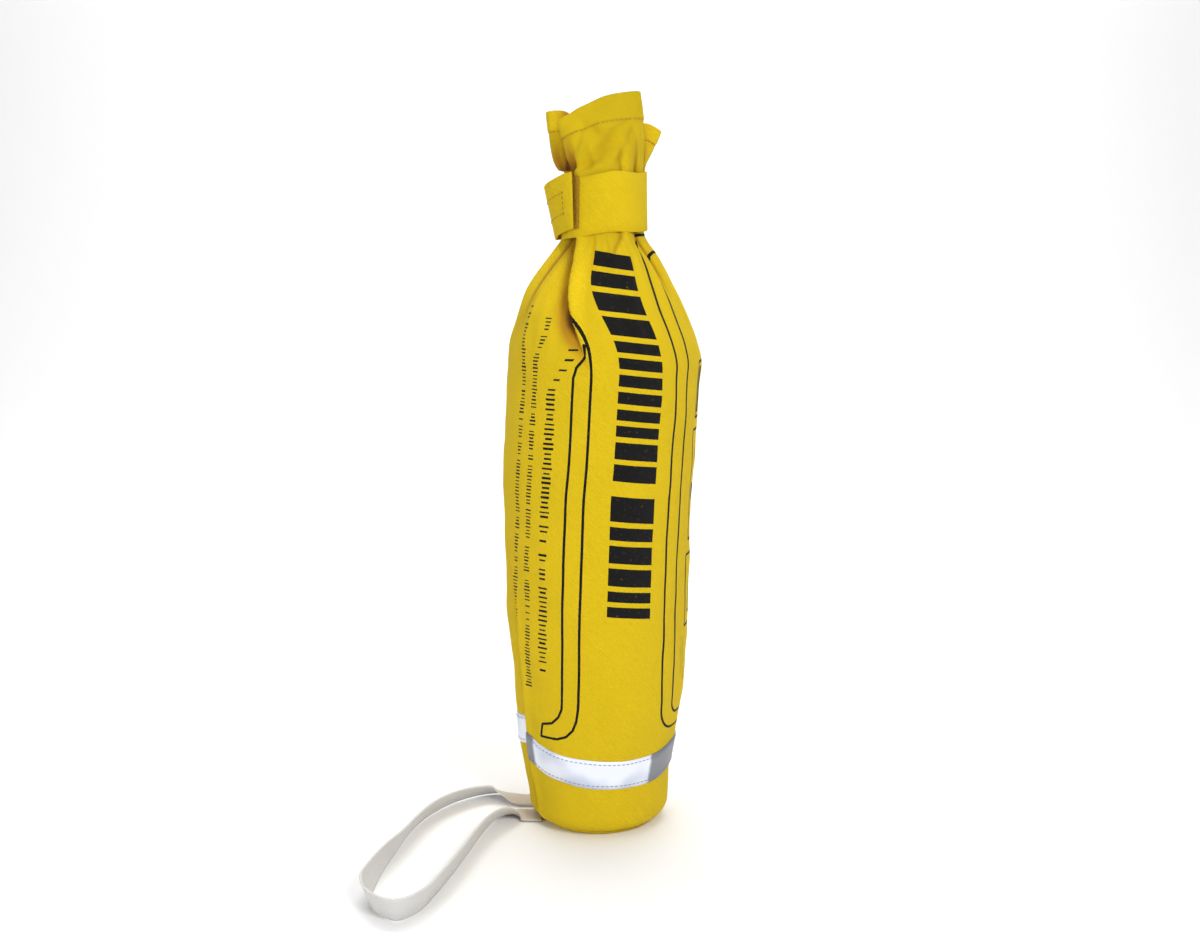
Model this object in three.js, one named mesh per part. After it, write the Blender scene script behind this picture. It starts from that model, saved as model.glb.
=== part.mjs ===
// A throw rope bag, in millimetres, +Z up, standing on its base with the base's middle at the origin.
// A tapered canvas tube is sewn to a round base, gathered at its neck and held shut by a strap whose
// free end peels open. The bag holds its throwing line, and a loop of webbing comes out of its base.
import * as THREE from "three";

// Canvas, webbing and line
const canvasThickness = 1.6;
const webbingWidth = 18;
const webbingThickness = 1.4;
const lineDiameter = 8;
const threadWidth = 0.7;
const gap = 0.3; // between pieces that touch
const columns = 48; // faces round the bag

// The bag's side
const footRadius = 47;
const footRound = 11;
const bellyRadius = 62.7;
const shoulderHeight = 312;
const shoulderRise = 76; // from the shoulder to the gathered neck
const footFacets = 4;

// The neck and its strap
const neckRadius = 25.5;
const neckShift = 1.6;
const strapWidth = 38;
const strapThickness = 1.5;
const strapMargin = 1.5; // of round neck, above and below the strap
const strapStart = -84; // degrees from the front, under the tab
const strapEnd = 250; // where the strap leaves the neck as its tab
const tabEnd = 318; // the tab's free edge, front left
const tabPatchSweep = 34; // degrees of the tab that its hooked patch covers
const patchThickness = 0.8;
const patchMargin = 3;
const tabStitchMargin = 4;

// Up the bag, in order
const neckFoot = shoulderHeight + shoulderRise;
const strapMiddle = neckFoot + 3.5 + strapMargin + strapWidth / 2;
const mouthFoot = strapMiddle + strapWidth / 2 + 2 * strapMargin;
const cavityTop = shoulderHeight + 34; // the gathered neck is solid above this
const coilTop = shoulderHeight - 10;

/** A radius between the foot's and the belly's, by the share of the way to the belly. */
const towardsBelly = (share) => footRadius + share * (bellyRadius - footRadius);

/** A radius between the belly's and the neck's, by the share of the way to the neck. */
const towardsNeck = (share) => bellyRadius + share * (neckRadius - bellyRadius);

// The side's outline, from its foot to its neck: height, radius, and how far its middle is off centre
const sideStations = [
  { z: footRound + 2.3, radius: footRadius, shift: -1.8 },
  { z: 35, radius: towardsBelly(0.115), shift: -3.4 },
  { z: 53, radius: towardsBelly(0.293), shift: -3.2 },
  { z: 73, radius: towardsBelly(0.459), shift: -2.4 },
  { z: 95, radius: towardsBelly(0.656), shift: -1.7 },
  { z: 151, radius: towardsBelly(0.866), shift: -2.6 },
  { z: 229, radius: towardsBelly(0.968), shift: -2.6 },
  { z: shoulderHeight - 33, radius: bellyRadius, shift: 0.2 },
  { z: shoulderHeight, radius: bellyRadius, shift: 2.1 },
  { z: shoulderHeight + 13, radius: towardsNeck(0.062), shift: 0.6 },
  { z: neckFoot - 44, radius: towardsNeck(0.239), shift: -0.7 },
  { z: neckFoot - 31, radius: towardsNeck(0.411), shift: 0.4 },
  { z: neckFoot - 18, radius: towardsNeck(0.621), shift: 2.2 },
  { z: neckFoot - 9, radius: towardsNeck(0.785), shift: 3 },
  { z: neckFoot, radius: towardsNeck(0.96), shift: 2.2 },
];

// The mouth's pleats: degrees from the front, radius, and how high the top edge stands there
const mouthPleats = [
  { at: -60, radius: 33, rise: 27 },
  { at: -5, radius: 24, rise: 37 },
  { at: 45, radius: 31, rise: 46 },
  { at: 66, radius: 25, rise: 29 },
  { at: 95, radius: 37, rise: 24 },
  { at: 128, radius: 26, rise: 28 },
  { at: 180, radius: 27, rise: 36 },
  { at: 235, radius: 26, rise: 31 },
  { at: 264, radius: 36, rise: 33 },
  { at: 281, radius: 28, rise: 29 },
];
const hemShare = 0.7; // how far up the mouth its hem is sewn

// The reflective tape, sewn on the side: degrees from the front and the height of its middle
const seamAngle = -61;
const tapeWidth = 20;
const tapeThickness = 0.5;
const tapeStitchInset = 2.4;
const tapeMiddle = [
  { at: seamAngle, z: 60 },
  { at: -48, z: 54 },
  { at: -30, z: 50 },
  { at: -8, z: 47 },
  { at: 24, z: 45 },
  { at: 80, z: 47 },
  { at: 200, z: 57 },
  { at: seamAngle + 360, z: 68 },
];

// The base and what the bag holds
const baseLap = 2; // how far the base reaches under the side's rounded foot
const baseRadius = footRadius - footRound + baseLap;
const baseThickness = 2;
const floatClearance = 0.6;
const floatThickness = 12;
const floatHole = 12;
const coilClearance = 4;
const coilPitRadius = 8;
const coilPitDepth = 12;
const handLoopRadius = 24;

// The webbing loop: how far out from the foot and how far back its middle lies, and its lean from upright
const loopPoints = [
  [3.4, 17, -90],
  [10, 17, -87],
  [18, 20, -74],
  [29, 23, -56],
  [41, 18, -48],
  [53, 8, -42],
  [64, -7, -36],
  [72, -24, -32],
  [78, -45, -28],
  [83, -70, -20],
  [89, -94, -6],
  [93, -118, 8],
  [94, -136, 18],
  [87, -153, 22],
  [72, -163, 22],
  [59, -151, 20],
  [51, -128, 19],
  [43, -98, 19],
  [36, -68, 20],
  [30, -44, 26],
  [23, -26, 40],
  [16, -14, 66],
  [10, -9.5, 84],
  [3.4, -9.5, 90],
];
const loopSteps = 60;
const rootGap = webbingThickness / 2 + 0.4; // lets the free webbing turn clear of its sewn end
const floorGap = 0.35; // under the webbing

const degrees = Math.PI / 180;

/** A value between two neighbouring stations, in a straight line. */
function between(stations, place, key, value) {
  const last = stations.length - 1;
  let i = 0;
  while (i < last - 1 && stations[i + 1][place] < key) i++;
  const [low, high] = [stations[i], stations[i + 1]];
  const share = THREE.MathUtils.clamp((key - low[place]) / (high[place] - low[place]), 0, 1);
  return THREE.MathUtils.lerp(low[value], high[value], share);
}

/** A point at an angle from the front, a distance from a middle that lies on the X axis. */
function polar(angle, radius, z, shift = 0) {
  const turn = angle * degrees;
  return new THREE.Vector3(shift + radius * Math.sin(turn), -radius * Math.cos(turn), z);
}

/** The angles of the bag's columns, once round. */
function columnAngles() {
  return Array.from({ length: columns }, (_, i) => (i * 360) / columns);
}

/** One closed body through rings of points: each end is closed by a fan to its middle. */
function loft(rings) {
  const around = rings[0].length;
  const middle = (ring) =>
    ring.reduce((sum, point) => sum.add(point), new THREE.Vector3()).divideScalar(ring.length);
  const points = [middle(rings[0]), ...rings.flat(), middle(rings.at(-1))];
  const at = (ring, i) => 1 + ring * around + (i % around);
  const faces = [];
  for (let i = 0; i < around; i++) {
    faces.push(0, at(0, i + 1), at(0, i));
    for (let ring = 0; ring + 1 < rings.length; ring++) {
      faces.push(at(ring, i), at(ring, i + 1), at(ring + 1, i + 1));
      faces.push(at(ring, i), at(ring + 1, i + 1), at(ring + 1, i));
    }
    faces.push(points.length - 1, at(rings.length - 1, i), at(rings.length - 1, i + 1));
  }
  const geometry = new THREE.BufferGeometry().setFromPoints(points).setIndex(faces);
  geometry.computeVertexNormals();
  return geometry;
}

/** A flat strip along a list of places, each with its two edges and the way its outer face looks. */
function strip(places, thickness) {
  return loft(
    places.map(({ upper, lower, outward }) => {
      const lift = outward.clone().multiplyScalar(thickness);
      return [lower, upper, upper.clone().add(lift), lower.clone().add(lift)];
    }),
  );
}

/** A cord of the given diameter along a curve. */
function cord(curve, diameter, steps, sides = 8) {
  const section = new THREE.Shape().absarc(0, 0, diameter / 2, 0, 2 * Math.PI);
  return new THREE.ExtrudeGeometry(section, {
    steps,
    curveSegments: sides,
    bevelEnabled: false,
    extrudePath: curve,
  });
}

/** A named piece of one material. */
function piece(name, geometry, finish) {
  const mesh = new THREE.Mesh(geometry, new THREE.MeshStandardMaterial(finish));
  mesh.name = name;
  return mesh;
}

const finishes = {
  canvas: { color: 0xe8d018, roughness: 0.85, metalness: 0 },
  binding: { color: 0xd6bd14, roughness: 0.9, metalness: 0 },
  thread: { color: 0xb89c10, roughness: 0.8, metalness: 0 },
  paleThread: { color: 0x9aa4d0, roughness: 0.8, metalness: 0 },
  reflective: { color: 0xe6eefa, roughness: 0.3, metalness: 0.2 },
  webbing: { color: 0xdededf, roughness: 0.8, metalness: 0 },
  hook: { color: 0x2a2a28, roughness: 0.9, metalness: 0 },
  foam: { color: 0x33363a, roughness: 0.95, metalness: 0 },
  line: { color: 0xe46a1c, roughness: 0.6, metalness: 0 },
};

/** A ring of the bag's side at a height, moved out from the canvas by an offset. */
function sideRing(z, offset = 0) {
  const radius = between(sideStations, "z", z, "radius") + offset;
  const shift = between(sideStations, "z", z, "shift");
  return columnAngles().map((angle) => polar(angle, radius, z, shift));
}

/** The rings of the rounded foot, from the base's edge up, for the outside or the inside of the canvas. */
function footRings(inset) {
  const { z, radius, shift } = sideStations[0];
  const corner = radius - footRound;
  const reach = footRound - inset;
  return Array.from({ length: footFacets }, (_, i) => {
    const turn = (i / footFacets) * 90 * degrees;
    const ringRadius = corner + reach * Math.sin(turn);
    const height = z - reach * Math.cos(turn);
    return columnAngles().map((angle) => polar(angle, ringRadius, height, shift));
  });
}

/** A ring of the gathered mouth: share 0 is at the neck and 1 at the top edge. */
function mouthRing(share, inset = 0) {
  const first = mouthPleats[0];
  const pleats = [...mouthPleats, { ...first, at: first.at + 360 }];
  return columnAngles().map((angle) => {
    const at = angle > pleats.at(-1).at ? angle - 360 : angle;
    const radius = between(pleats, "at", at, "radius");
    const rise = between(pleats, "at", at, "rise");
    const flare = THREE.MathUtils.smoothstep(share, 0, 1);
    const spread = THREE.MathUtils.lerp(neckRadius, radius, flare) - inset;
    return polar(angle, spread, mouthFoot + rise * share, neckShift);
  });
}

/** A ring of the gathered neck, which is round under its strap. */
function neckRing(z) {
  return columnAngles().map((angle) => polar(angle, neckRadius, z, neckShift));
}

/** The canvas tube up to the middle of its neck: its outside, its open foot and its hollow. */
function sidePanel() {
  const outside = sideStations.map(({ z }) => sideRing(z)).reverse();
  const inside = sideStations
    .filter(({ z }) => z < cavityTop)
    .map(({ z }) => sideRing(z, -canvasThickness));
  const shoulder = between(sideStations, "z", cavityTop, "radius");
  const rings = [
    neckRing(strapMiddle - gap / 2),
    neckRing(strapMiddle - strapWidth / 2 - strapMargin),
    ...outside,
    ...footRings(0).reverse(),
    ...footRings(canvasThickness),
    ...inside,
    sideRing(cavityTop, -shoulder / 2),
  ];
  return piece("side_panel", loft(rings.reverse()), finishes.canvas);
}

/** The rest of the same tube, from the middle of its neck to its open, pleated mouth. */
function gatheredMouth() {
  const rings = [
    mouthRing(0.45, 15),
    mouthRing(0.75, 8),
    mouthRing(1, canvasThickness),
    mouthRing(1),
    mouthRing(hemShare),
    mouthRing(0.35),
    neckRing(strapMiddle + strapWidth / 2 + strapMargin),
    neckRing(strapMiddle + gap / 2),
  ];
  return piece("gathered_mouth", loft(rings.reverse()), finishes.canvas);
}

/** A narrow strip that binds the side seam's raw edge, inside the bag. */
function sideSeamBinding() {
  const width = 8;
  const thickness = 1.2;
  const places = sideStations
    .filter(({ z }) => z > 30 && z < coilTop + 20)
    .map(({ z, radius, shift }) => {
      const inner = radius - canvasThickness - gap - thickness - 0.2;
      const half = width / 2 / radius / degrees;
      return {
        upper: polar(seamAngle - half, inner, z, shift),
        lower: polar(seamAngle + half, inner, z, shift),
        outward: polar(seamAngle, 1, 0),
      };
    });
  return piece("side_seam_binding", strip(places, thickness), finishes.binding);
}

/** The round base, with a softened lower edge. */
function basePanel() {
  const edge = 0.8;
  const profile = [
    [0, 0],
    [baseRadius - edge, 0],
    [baseRadius, edge],
    [baseRadius, baseThickness],
    [0, baseThickness],
  ].map(([x, y]) => new THREE.Vector2(x, y));
  const geometry = new THREE.LatheGeometry(profile, columns).rotateX(Math.PI / 2);
  geometry.translate(sideStations[0].shift, 0, 0);
  return piece("base_panel", geometry, finishes.canvas);
}

/** The foam disc that stiffens the base and floats it, with a hole for the line's knot. */
function baseFloat() {
  const foot = baseThickness + gap + webbingThickness + gap;
  const radius = sideStations[0].radius - footRound - floatClearance;
  const profile = [
    [floatHole, foot],
    [radius, foot],
    [radius, foot + floatThickness],
    [floatHole, foot + floatThickness],
    [floatHole, foot],
  ].map(([x, y]) => new THREE.Vector2(x, y));
  const geometry = new THREE.LatheGeometry(profile, columns).rotateX(Math.PI / 2);
  geometry.translate(sideStations[0].shift, 0, 0);
  return piece("base_float", geometry, finishes.foam);
}

/** The webbing inside the base that the line is tied to. */
function anchorWebbing() {
  const reach = baseRadius - 6;
  const geometry = new THREE.BoxGeometry(reach + floatHole / 2, webbingWidth, webbingThickness);
  const height = baseThickness + gap + webbingThickness / 2;
  geometry.translate((floatHole / 2 - reach) / 2 + sideStations[0].shift, 0, height);
  return piece("anchor_webbing", geometry, finishes.webbing);
}

const knotFoot = baseThickness + webbingThickness + 2 * gap;
const floatTop = knotFoot + floatThickness;
const coilFoot = floatTop + gap + 0.2;
const knotRadius = lineDiameter * 0.95;

/** The knot that ties the line's fixed end to the base. */
function anchorKnot() {
  const geometry = new THREE.SphereGeometry(knotRadius, 16, 10).rotateX(Math.PI / 2);
  geometry.translate(sideStations[0].shift, 0, knotFoot + knotRadius);
  return piece("line_anchor_knot", geometry, finishes.line);
}

/** The short run of line from that knot up into the packed line. */
function fixedEnd() {
  const foot = knotFoot + 2 * knotRadius + gap;
  const top = coilFoot + coilPitDepth - gap;
  const shift = sideStations[0].shift;
  const path = new THREE.LineCurve3(
    new THREE.Vector3(shift, 0, foot),
    new THREE.Vector3(shift, 0, top),
  );
  return piece("line_fixed_end", cord(path, lineDiameter, 2), finishes.line);
}

/** The packed line: the outer shape of all its turns, with a pit below for the fixed end. */
function lineCoil() {
  const shift = sideStations[0].shift;
  const pitRing = (z) => columnAngles().map((angle) => polar(angle, coilPitRadius, z, shift));
  const inset = -canvasThickness - coilClearance;
  const heights = sideStations.map(({ z }) => z).filter((z) => z > coilFoot + 4 && z < coilTop - 4);
  const rings = [
    pitRing(coilFoot + coilPitDepth),
    pitRing(coilFoot),
    sideRing(coilFoot, inset - 4),
    sideRing(coilFoot + 4, inset),
    ...heights.map((z) => sideRing(z, inset)),
    sideRing(coilTop - 6, inset),
    sideRing(coilTop, inset - 8),
  ];
  return piece("line_coil", loft(rings), finishes.line);
}

/** The hand loop at the line's throwing end: its knot, the loop, and the run down to the packed line. */
function handLoop() {
  const height = coilTop + gap + lineDiameter / 2 + 4;
  const knotPlace = new THREE.Vector3(0, handLoopRadius, height);
  const knot = new THREE.SphereGeometry(knotRadius, 16, 10).rotateX(Math.PI / 2);
  knot.translate(knotPlace.x, knotPlace.y, knotPlace.z);

  const knotShare = (knotRadius + gap + 0.2) / handLoopRadius;
  const sweep = 2 * (Math.PI - knotShare) - 0.06;
  const turns = Array.from({ length: 25 }, (_, i) => {
    const turn = Math.PI / 2 + Math.PI - sweep / 2 + (sweep * i) / 24;
    return new THREE.Vector3(
      handLoopRadius * Math.cos(turn),
      handLoopRadius * Math.sin(turn),
      height,
    );
  });
  const loopPath = new THREE.CatmullRomCurve3(turns);

  const start = knotPlace.clone().add(new THREE.Vector3(0, knotRadius + gap + 0.4, 0));
  const tailPath = new THREE.CatmullRomCurve3([
    start,
    start.clone().add(new THREE.Vector3(0, 6, 0)),
    start.clone().add(new THREE.Vector3(8, 12, -1)),
    start.clone().add(new THREE.Vector3(21, 10, -2)),
    start.clone().add(new THREE.Vector3(32, 0, -3)),
  ]);
  return [
    piece("hand_loop_knot", knot, finishes.line),
    piece("line_hand_loop", cord(loopPath, lineDiameter, 36), finishes.line),
    piece("line_throw_end", cord(tailPath, lineDiameter, 8), finishes.line),
  ];
}

/** A strip bent round the neck between two angles and two heights, a distance out from the canvas. */
function neckStrip(from, to, low, high, offset, thickness) {
  const steps = Math.max(2, Math.round((to - from) / (360 / columns)));
  const places = Array.from({ length: steps + 1 }, (_, i) => {
    const angle = from + ((to - from) * i) / steps;
    return {
      upper: polar(angle, neckRadius + offset, high, neckShift),
      lower: polar(angle, neckRadius + offset, low, neckShift),
      outward: polar(angle, 1, 0),
    };
  });
  return strip(places, thickness);
}

const strapLow = strapMiddle - strapWidth / 2;
const strapHigh = strapMiddle + strapWidth / 2;
const strapOffset = gap + 0.05;
const loopPatchOffset = strapOffset + strapThickness + gap;
const hookPatchOffset = loopPatchOffset + patchThickness + gap;
const tabOffset = hookPatchOffset + patchThickness + gap;

/** The strap round the neck. Its other end leaves it at the back left, as the tab. */
function neckStrap() {
  const geometry = neckStrip(strapStart, strapEnd, strapLow, strapHigh, strapOffset, strapThickness);
  return piece("neck_strap", geometry, finishes.canvas);
}

/** The soft patch on the strap, which the tab's hooks grip. */
function loopPatch() {
  const geometry = neckStrip(
    tabEnd - 360 - tabPatchSweep,
    tabEnd - 360 + 8,
    strapLow + patchMargin,
    strapHigh - patchMargin,
    loopPatchOffset,
    patchThickness,
  );
  return piece("loop_patch", geometry, finishes.binding);
}

/** The stitches that hold the strap to the neck at the back: one thread, down and up in a zigzag. */
function anchorStitching() {
  const offset = strapOffset + strapThickness + gap + threadWidth / 2;
  const rows = 6;
  const points = Array.from({ length: rows + 1 }, (_, i) => {
    const angle = 172 + (16 * i) / rows;
    const height = i % 2 ? strapHigh - 5 : strapLow + 5;
    return polar(angle, neckRadius + offset, height, neckShift);
  });
  const path = new THREE.CatmullRomCurve3(points);
  return piece("strap_anchor_stitching", cord(path, threadWidth, 36, 6), finishes.thread);
}

/** The strap's free end, which lies over the patch, the hooked patch inside it and its stitching. */
function strapTab() {
  const tab = neckStrip(strapEnd + 2, tabEnd, strapLow, strapHigh, tabOffset, strapThickness);
  const hooks = neckStrip(
    tabEnd - tabPatchSweep,
    tabEnd - 3,
    strapLow + patchMargin,
    strapHigh - patchMargin,
    hookPatchOffset,
    patchThickness,
  );
  const offset = tabOffset + strapThickness + gap + threadWidth / 2;
  const right = tabEnd - tabStitchMargin / neckRadius / degrees;
  const left = tabEnd - tabPatchSweep;
  const [low, high] = [strapLow + tabStitchMargin, strapHigh - tabStitchMargin];
  const frame = [
    ...[0, 1, 2, 3, 4].map((i) => [left + ((right - left) * i) / 4, high]),
    ...[1, 2, 3, 4].map((i) => [right, high + ((low - high) * i) / 4]),
    ...[1, 2, 3, 4].map((i) => [right + ((left - right) * i) / 4, low]),
    ...[1, 2, 3].map((i) => [left, low + ((high - low) * i) / 4]),
  ].map(([angle, z]) => polar(angle, neckRadius + offset, z, neckShift));
  const path = new THREE.CatmullRomCurve3(frame, false, "chordal");
  return [
    piece("strap_tab", tab, finishes.canvas),
    piece("hook_patch", hooks, finishes.hook),
    piece("tab_stitching", cord(path, threadWidth, 48, 6), finishes.thread),
  ];
}

/** A band sewn round the bag's side from seam to seam, between two heights above the tape's middle. */
function sideBand(low, high, offset, thickness) {
  const margin = 0.6;
  const angles = [
    seamAngle + margin,
    ...Array.from({ length: columns - 1 }, (_, i) => {
      const first = Math.ceil((seamAngle + 2 * margin) / (360 / columns));
      return ((first + i) * 360) / columns;
    }),
    seamAngle + 360 - margin,
  ];
  const edge = (angle, z) => {
    const radius = between(sideStations, "z", z, "radius") + offset;
    return polar(angle, radius, z, between(sideStations, "z", z, "shift"));
  };
  return strip(
    angles.map((angle) => {
      const middle = between(tapeMiddle, "at", angle, "z");
      return {
        upper: edge(angle, middle + high),
        lower: edge(angle, middle + low),
        outward: polar(angle, 1, 0),
      };
    }),
    thickness,
  );
}

/** The reflective tape and the two rows of thread that sew it down. */
function reflectiveTape() {
  const tapeOffset = gap + 0.35;
  const threadOffset = tapeOffset + tapeThickness + gap + 0.3;
  const half = tapeWidth / 2;
  const row = (name, middle) =>
    piece(
      name,
      sideBand(middle - threadWidth / 2, middle + threadWidth / 2, threadOffset, threadWidth / 2),
      finishes.paleThread,
    );
  return [
    piece("reflective_tape", sideBand(-half, half, tapeOffset, tapeThickness), finishes.reflective),
    row("tape_stitching_upper", half - tapeStitchInset),
    row("tape_stitching_lower", tapeStitchInset - half),
  ];
}

/** The row of thread that sews the mouth's hem, along the front of the mouth. */
function mouthHemStitching() {
  const ring = mouthRing(hemShare, -gap - threadWidth);
  const front = [...ring.slice(-7), ...ring.slice(0, 6)];
  const path = new THREE.CatmullRomCurve3(front);
  return piece("mouth_hem_stitching", cord(path, threadWidth, 36, 6), finishes.thread);
}

/** A place along the webbing loop: its middle, across the webbing, and out through its face. */
function loopPlace(track, share) {
  const here = track.getPoint(share);
  const along = track.getTangent(share).setZ(0).normalize();
  const out = new THREE.Vector3(along.y, -along.x, 0);
  const lean = here.z * degrees;
  const across = new THREE.Vector3(0, 0, Math.cos(lean)).addScaledVector(out, Math.sin(lean));
  const face = new THREE.Vector3().crossVectors(along, across);
  const rise = (webbingWidth * Math.abs(across.z) + webbingThickness * Math.abs(face.z)) / 2;
  return { middle: new THREE.Vector3(here.x, here.y, rise + floorGap), across, face };
}

/** The edges that a strip needs, from a place along the webbing. */
function webbingEdges({ middle, across, face }) {
  const back = middle.clone().addScaledVector(face, -webbingThickness / 2);
  return {
    upper: back.clone().addScaledVector(across, webbingWidth / 2),
    lower: back.clone().addScaledVector(across, -webbingWidth / 2),
    outward: face,
  };
}

const loopTrack = new THREE.CatmullRomCurve3(
  loopPoints.map(([out, y, lean]) => new THREE.Vector3(-footRadius - out, y, lean)),
  false,
  "catmullrom",
  0.5,
);

/** The webbing loop, lying on edge on the floor beside the bag. */
function handleLoop() {
  const places = Array.from({ length: loopSteps + 1 }, (_, i) =>
    webbingEdges(loopPlace(loopTrack, i / loopSteps)),
  );
  return piece("handle_loop", strip(places, webbingThickness), finishes.webbing);
}

/** The end of the webbing that is sewn into the base seam, out to where the loop is free. */
function handleRoot(name, share) {
  const end = loopPlace(loopTrack, share);
  const inner = sideStations[0].shift - baseRadius - gap;
  const reaches = [inner, end.middle.x + rootGap];
  if (share === 1) reaches.reverse();
  const places = reaches.map((x) => webbingEdges({ ...end, middle: end.middle.clone().setX(x) }));
  return piece(name, strip(places, webbingThickness), finishes.webbing);
}

const group = new THREE.Group();
group.add(
  sidePanel(),
  gatheredMouth(),
  sideSeamBinding(),
  basePanel(),
  baseFloat(),
  anchorWebbing(),
  anchorKnot(),
  fixedEnd(),
  lineCoil(),
  ...handLoop(),
  neckStrap(),
  loopPatch(),
  anchorStitching(),
  ...strapTab(),
  ...reflectiveTape(),
  mouthHemStitching(),
  handleLoop(),
  handleRoot("handle_root_rear", 0),
  handleRoot("handle_root_front", 1),
);

export default group;
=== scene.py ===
"""A throw rope bag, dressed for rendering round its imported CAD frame.

The bag is a printed canvas tube, gathered and strapped shut at its neck, with reflective tape round
its foot, a webbing hand loop on the floor beside it, and its throwing line packed inside. Lengths are
millimetres until a mesh is made, which is in metres. Angles are degrees round the bag, from its front
towards its right.
"""

from __future__ import annotations

import logging
import math
from dataclasses import dataclass
from enum import Enum
from typing import Any, Sequence

import bpy
import numpy as np
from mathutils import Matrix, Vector
from mathutils.bvhtree import BVHTree
from mathutils.noise import noise


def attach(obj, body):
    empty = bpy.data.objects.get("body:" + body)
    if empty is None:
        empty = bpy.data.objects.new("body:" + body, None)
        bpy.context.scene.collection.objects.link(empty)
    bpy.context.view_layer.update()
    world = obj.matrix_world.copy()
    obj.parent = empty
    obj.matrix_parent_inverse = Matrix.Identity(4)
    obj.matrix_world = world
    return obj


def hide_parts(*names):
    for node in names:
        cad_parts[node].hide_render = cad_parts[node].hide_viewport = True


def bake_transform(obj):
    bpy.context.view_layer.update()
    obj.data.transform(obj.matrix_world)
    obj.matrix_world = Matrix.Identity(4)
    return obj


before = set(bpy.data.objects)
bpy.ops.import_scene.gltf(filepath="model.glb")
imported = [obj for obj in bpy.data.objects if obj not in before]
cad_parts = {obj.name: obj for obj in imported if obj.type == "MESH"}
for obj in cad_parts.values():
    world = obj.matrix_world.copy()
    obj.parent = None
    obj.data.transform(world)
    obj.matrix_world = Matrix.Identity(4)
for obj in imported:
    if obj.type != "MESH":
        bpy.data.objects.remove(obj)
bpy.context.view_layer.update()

log = logging.getLogger("throw_bag")

MM = 0.001
TURN = 2 * math.pi
CLOTH_MAP = "cloth"  # the map of how far across and along its cloth a point is, in metres
FOLD_SHADE = "painted_fold_shade"  # the attribute that says how much painted shade a point gets from the folds
EDGE_SHARE = 0.3  # how thick a strap is at its very edge, as a share of its thickness
SHADE_WIDTH = 1.3  # how far a fold's shade reaches on its lapping side, in millimetres
FULL_SHADE_DEPTH = 5.0  # millimetres deep, from which a fold is shaded in full
Colour = tuple[float, float, float]
Array = np.ndarray


class Body(Enum):
    """The CAD bodies that a piece can ride on."""

    BAG = "bag"
    TAB = "strap_tab"
    HAND_LOOP = "hand_loop"


class Slot(Enum):
    """The record's material slots."""

    CANVAS = "canvas"
    THREAD = "thread"
    PALE_THREAD = "pale_thread"
    REFLECTIVE = "reflective"
    WEBBING = "webbing"
    HOOK = "hook"
    LINE = "line"


# ---------------------------------------------------------------------------------------------------
# Small maths, all of it on whole arrays
# ---------------------------------------------------------------------------------------------------


def smooth(low: float, high: float, value: Any) -> Array:
    """Rises smoothly from 0 at low to 1 at high, or falls where low is above high."""
    share = np.clip((np.asarray(value, float) - low) / (high - low), 0, 1)
    return share * share * (3 - 2 * share)


def bell(distance: Any, width: Any) -> Array:
    """Returns 1 at no distance, falling away over width on both sides."""
    return np.exp(-((np.asarray(distance, float) / width) ** 2))


def polar(angle: Any, radius: Any, height: Any, shift: Any = 0.0) -> Array:
    """Points round the bag, in the last axis of the result.

    Args:
        angle: degrees from the front, towards the right.
        radius: distance from the bag's middle there.
        height: height above the floor.
        shift: how far that middle is to the right of the origin.

    Returns:
        The points.
    """
    turn = np.radians(angle)
    parts = (shift + radius * np.sin(turn), -radius * np.cos(turn), height)
    return np.stack(np.broadcast_arrays(*parts), axis=-1)


def curve_through(points: Sequence[Sequence[float]], steps: int) -> Array:
    """Samples a smooth curve that passes through points.

    Args:
        points: the points, of any dimension.
        steps: how many steps to take from the first to the last.

    Returns:
        The samples, one to a row.
    """
    given = np.array(points, float)
    ends = np.vstack([2 * given[0] - given[1], given, 2 * given[-1] - given[-2]])
    place = np.linspace(0, len(given) - 1, steps + 1)
    span = np.minimum(place.astype(int), len(given) - 2)
    t = (place - span)[:, None]
    before, start, end, after = (ends[span + k] for k in range(4))
    bend = 2 * before - 5 * start + 4 * end - after
    twist = 3 * start - before - 3 * end + after
    return start + 0.5 * ((end - before) * t + bend * t**2 + twist * t**3)


class Track:
    """A number that changes smoothly along the bag or round it."""

    def __init__(self, *stations: tuple[float, float], round_the_bag: bool = False) -> None:
        """Keeps a curve through the stations.

        Args:
            stations: places in rising order, each with the number there.
            round_the_bag: whether places are angles, so that the curve closes.
        """
        listed = list(stations)
        if round_the_bag:
            turn_before = [(place - 360, value) for place, value in stations]
            turn_after = [(place + 360, value) for place, value in stations]
            listed = turn_before + listed + turn_after
        self.samples = curve_through(listed, 24 * len(listed))

    def __call__(self, place: Any) -> Array:
        """Returns the number at a place, or at each of many."""
        return np.interp(place, self.samples[:, 0], self.samples[:, 1])


# ---------------------------------------------------------------------------------------------------
# Node trees
# ---------------------------------------------------------------------------------------------------


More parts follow.
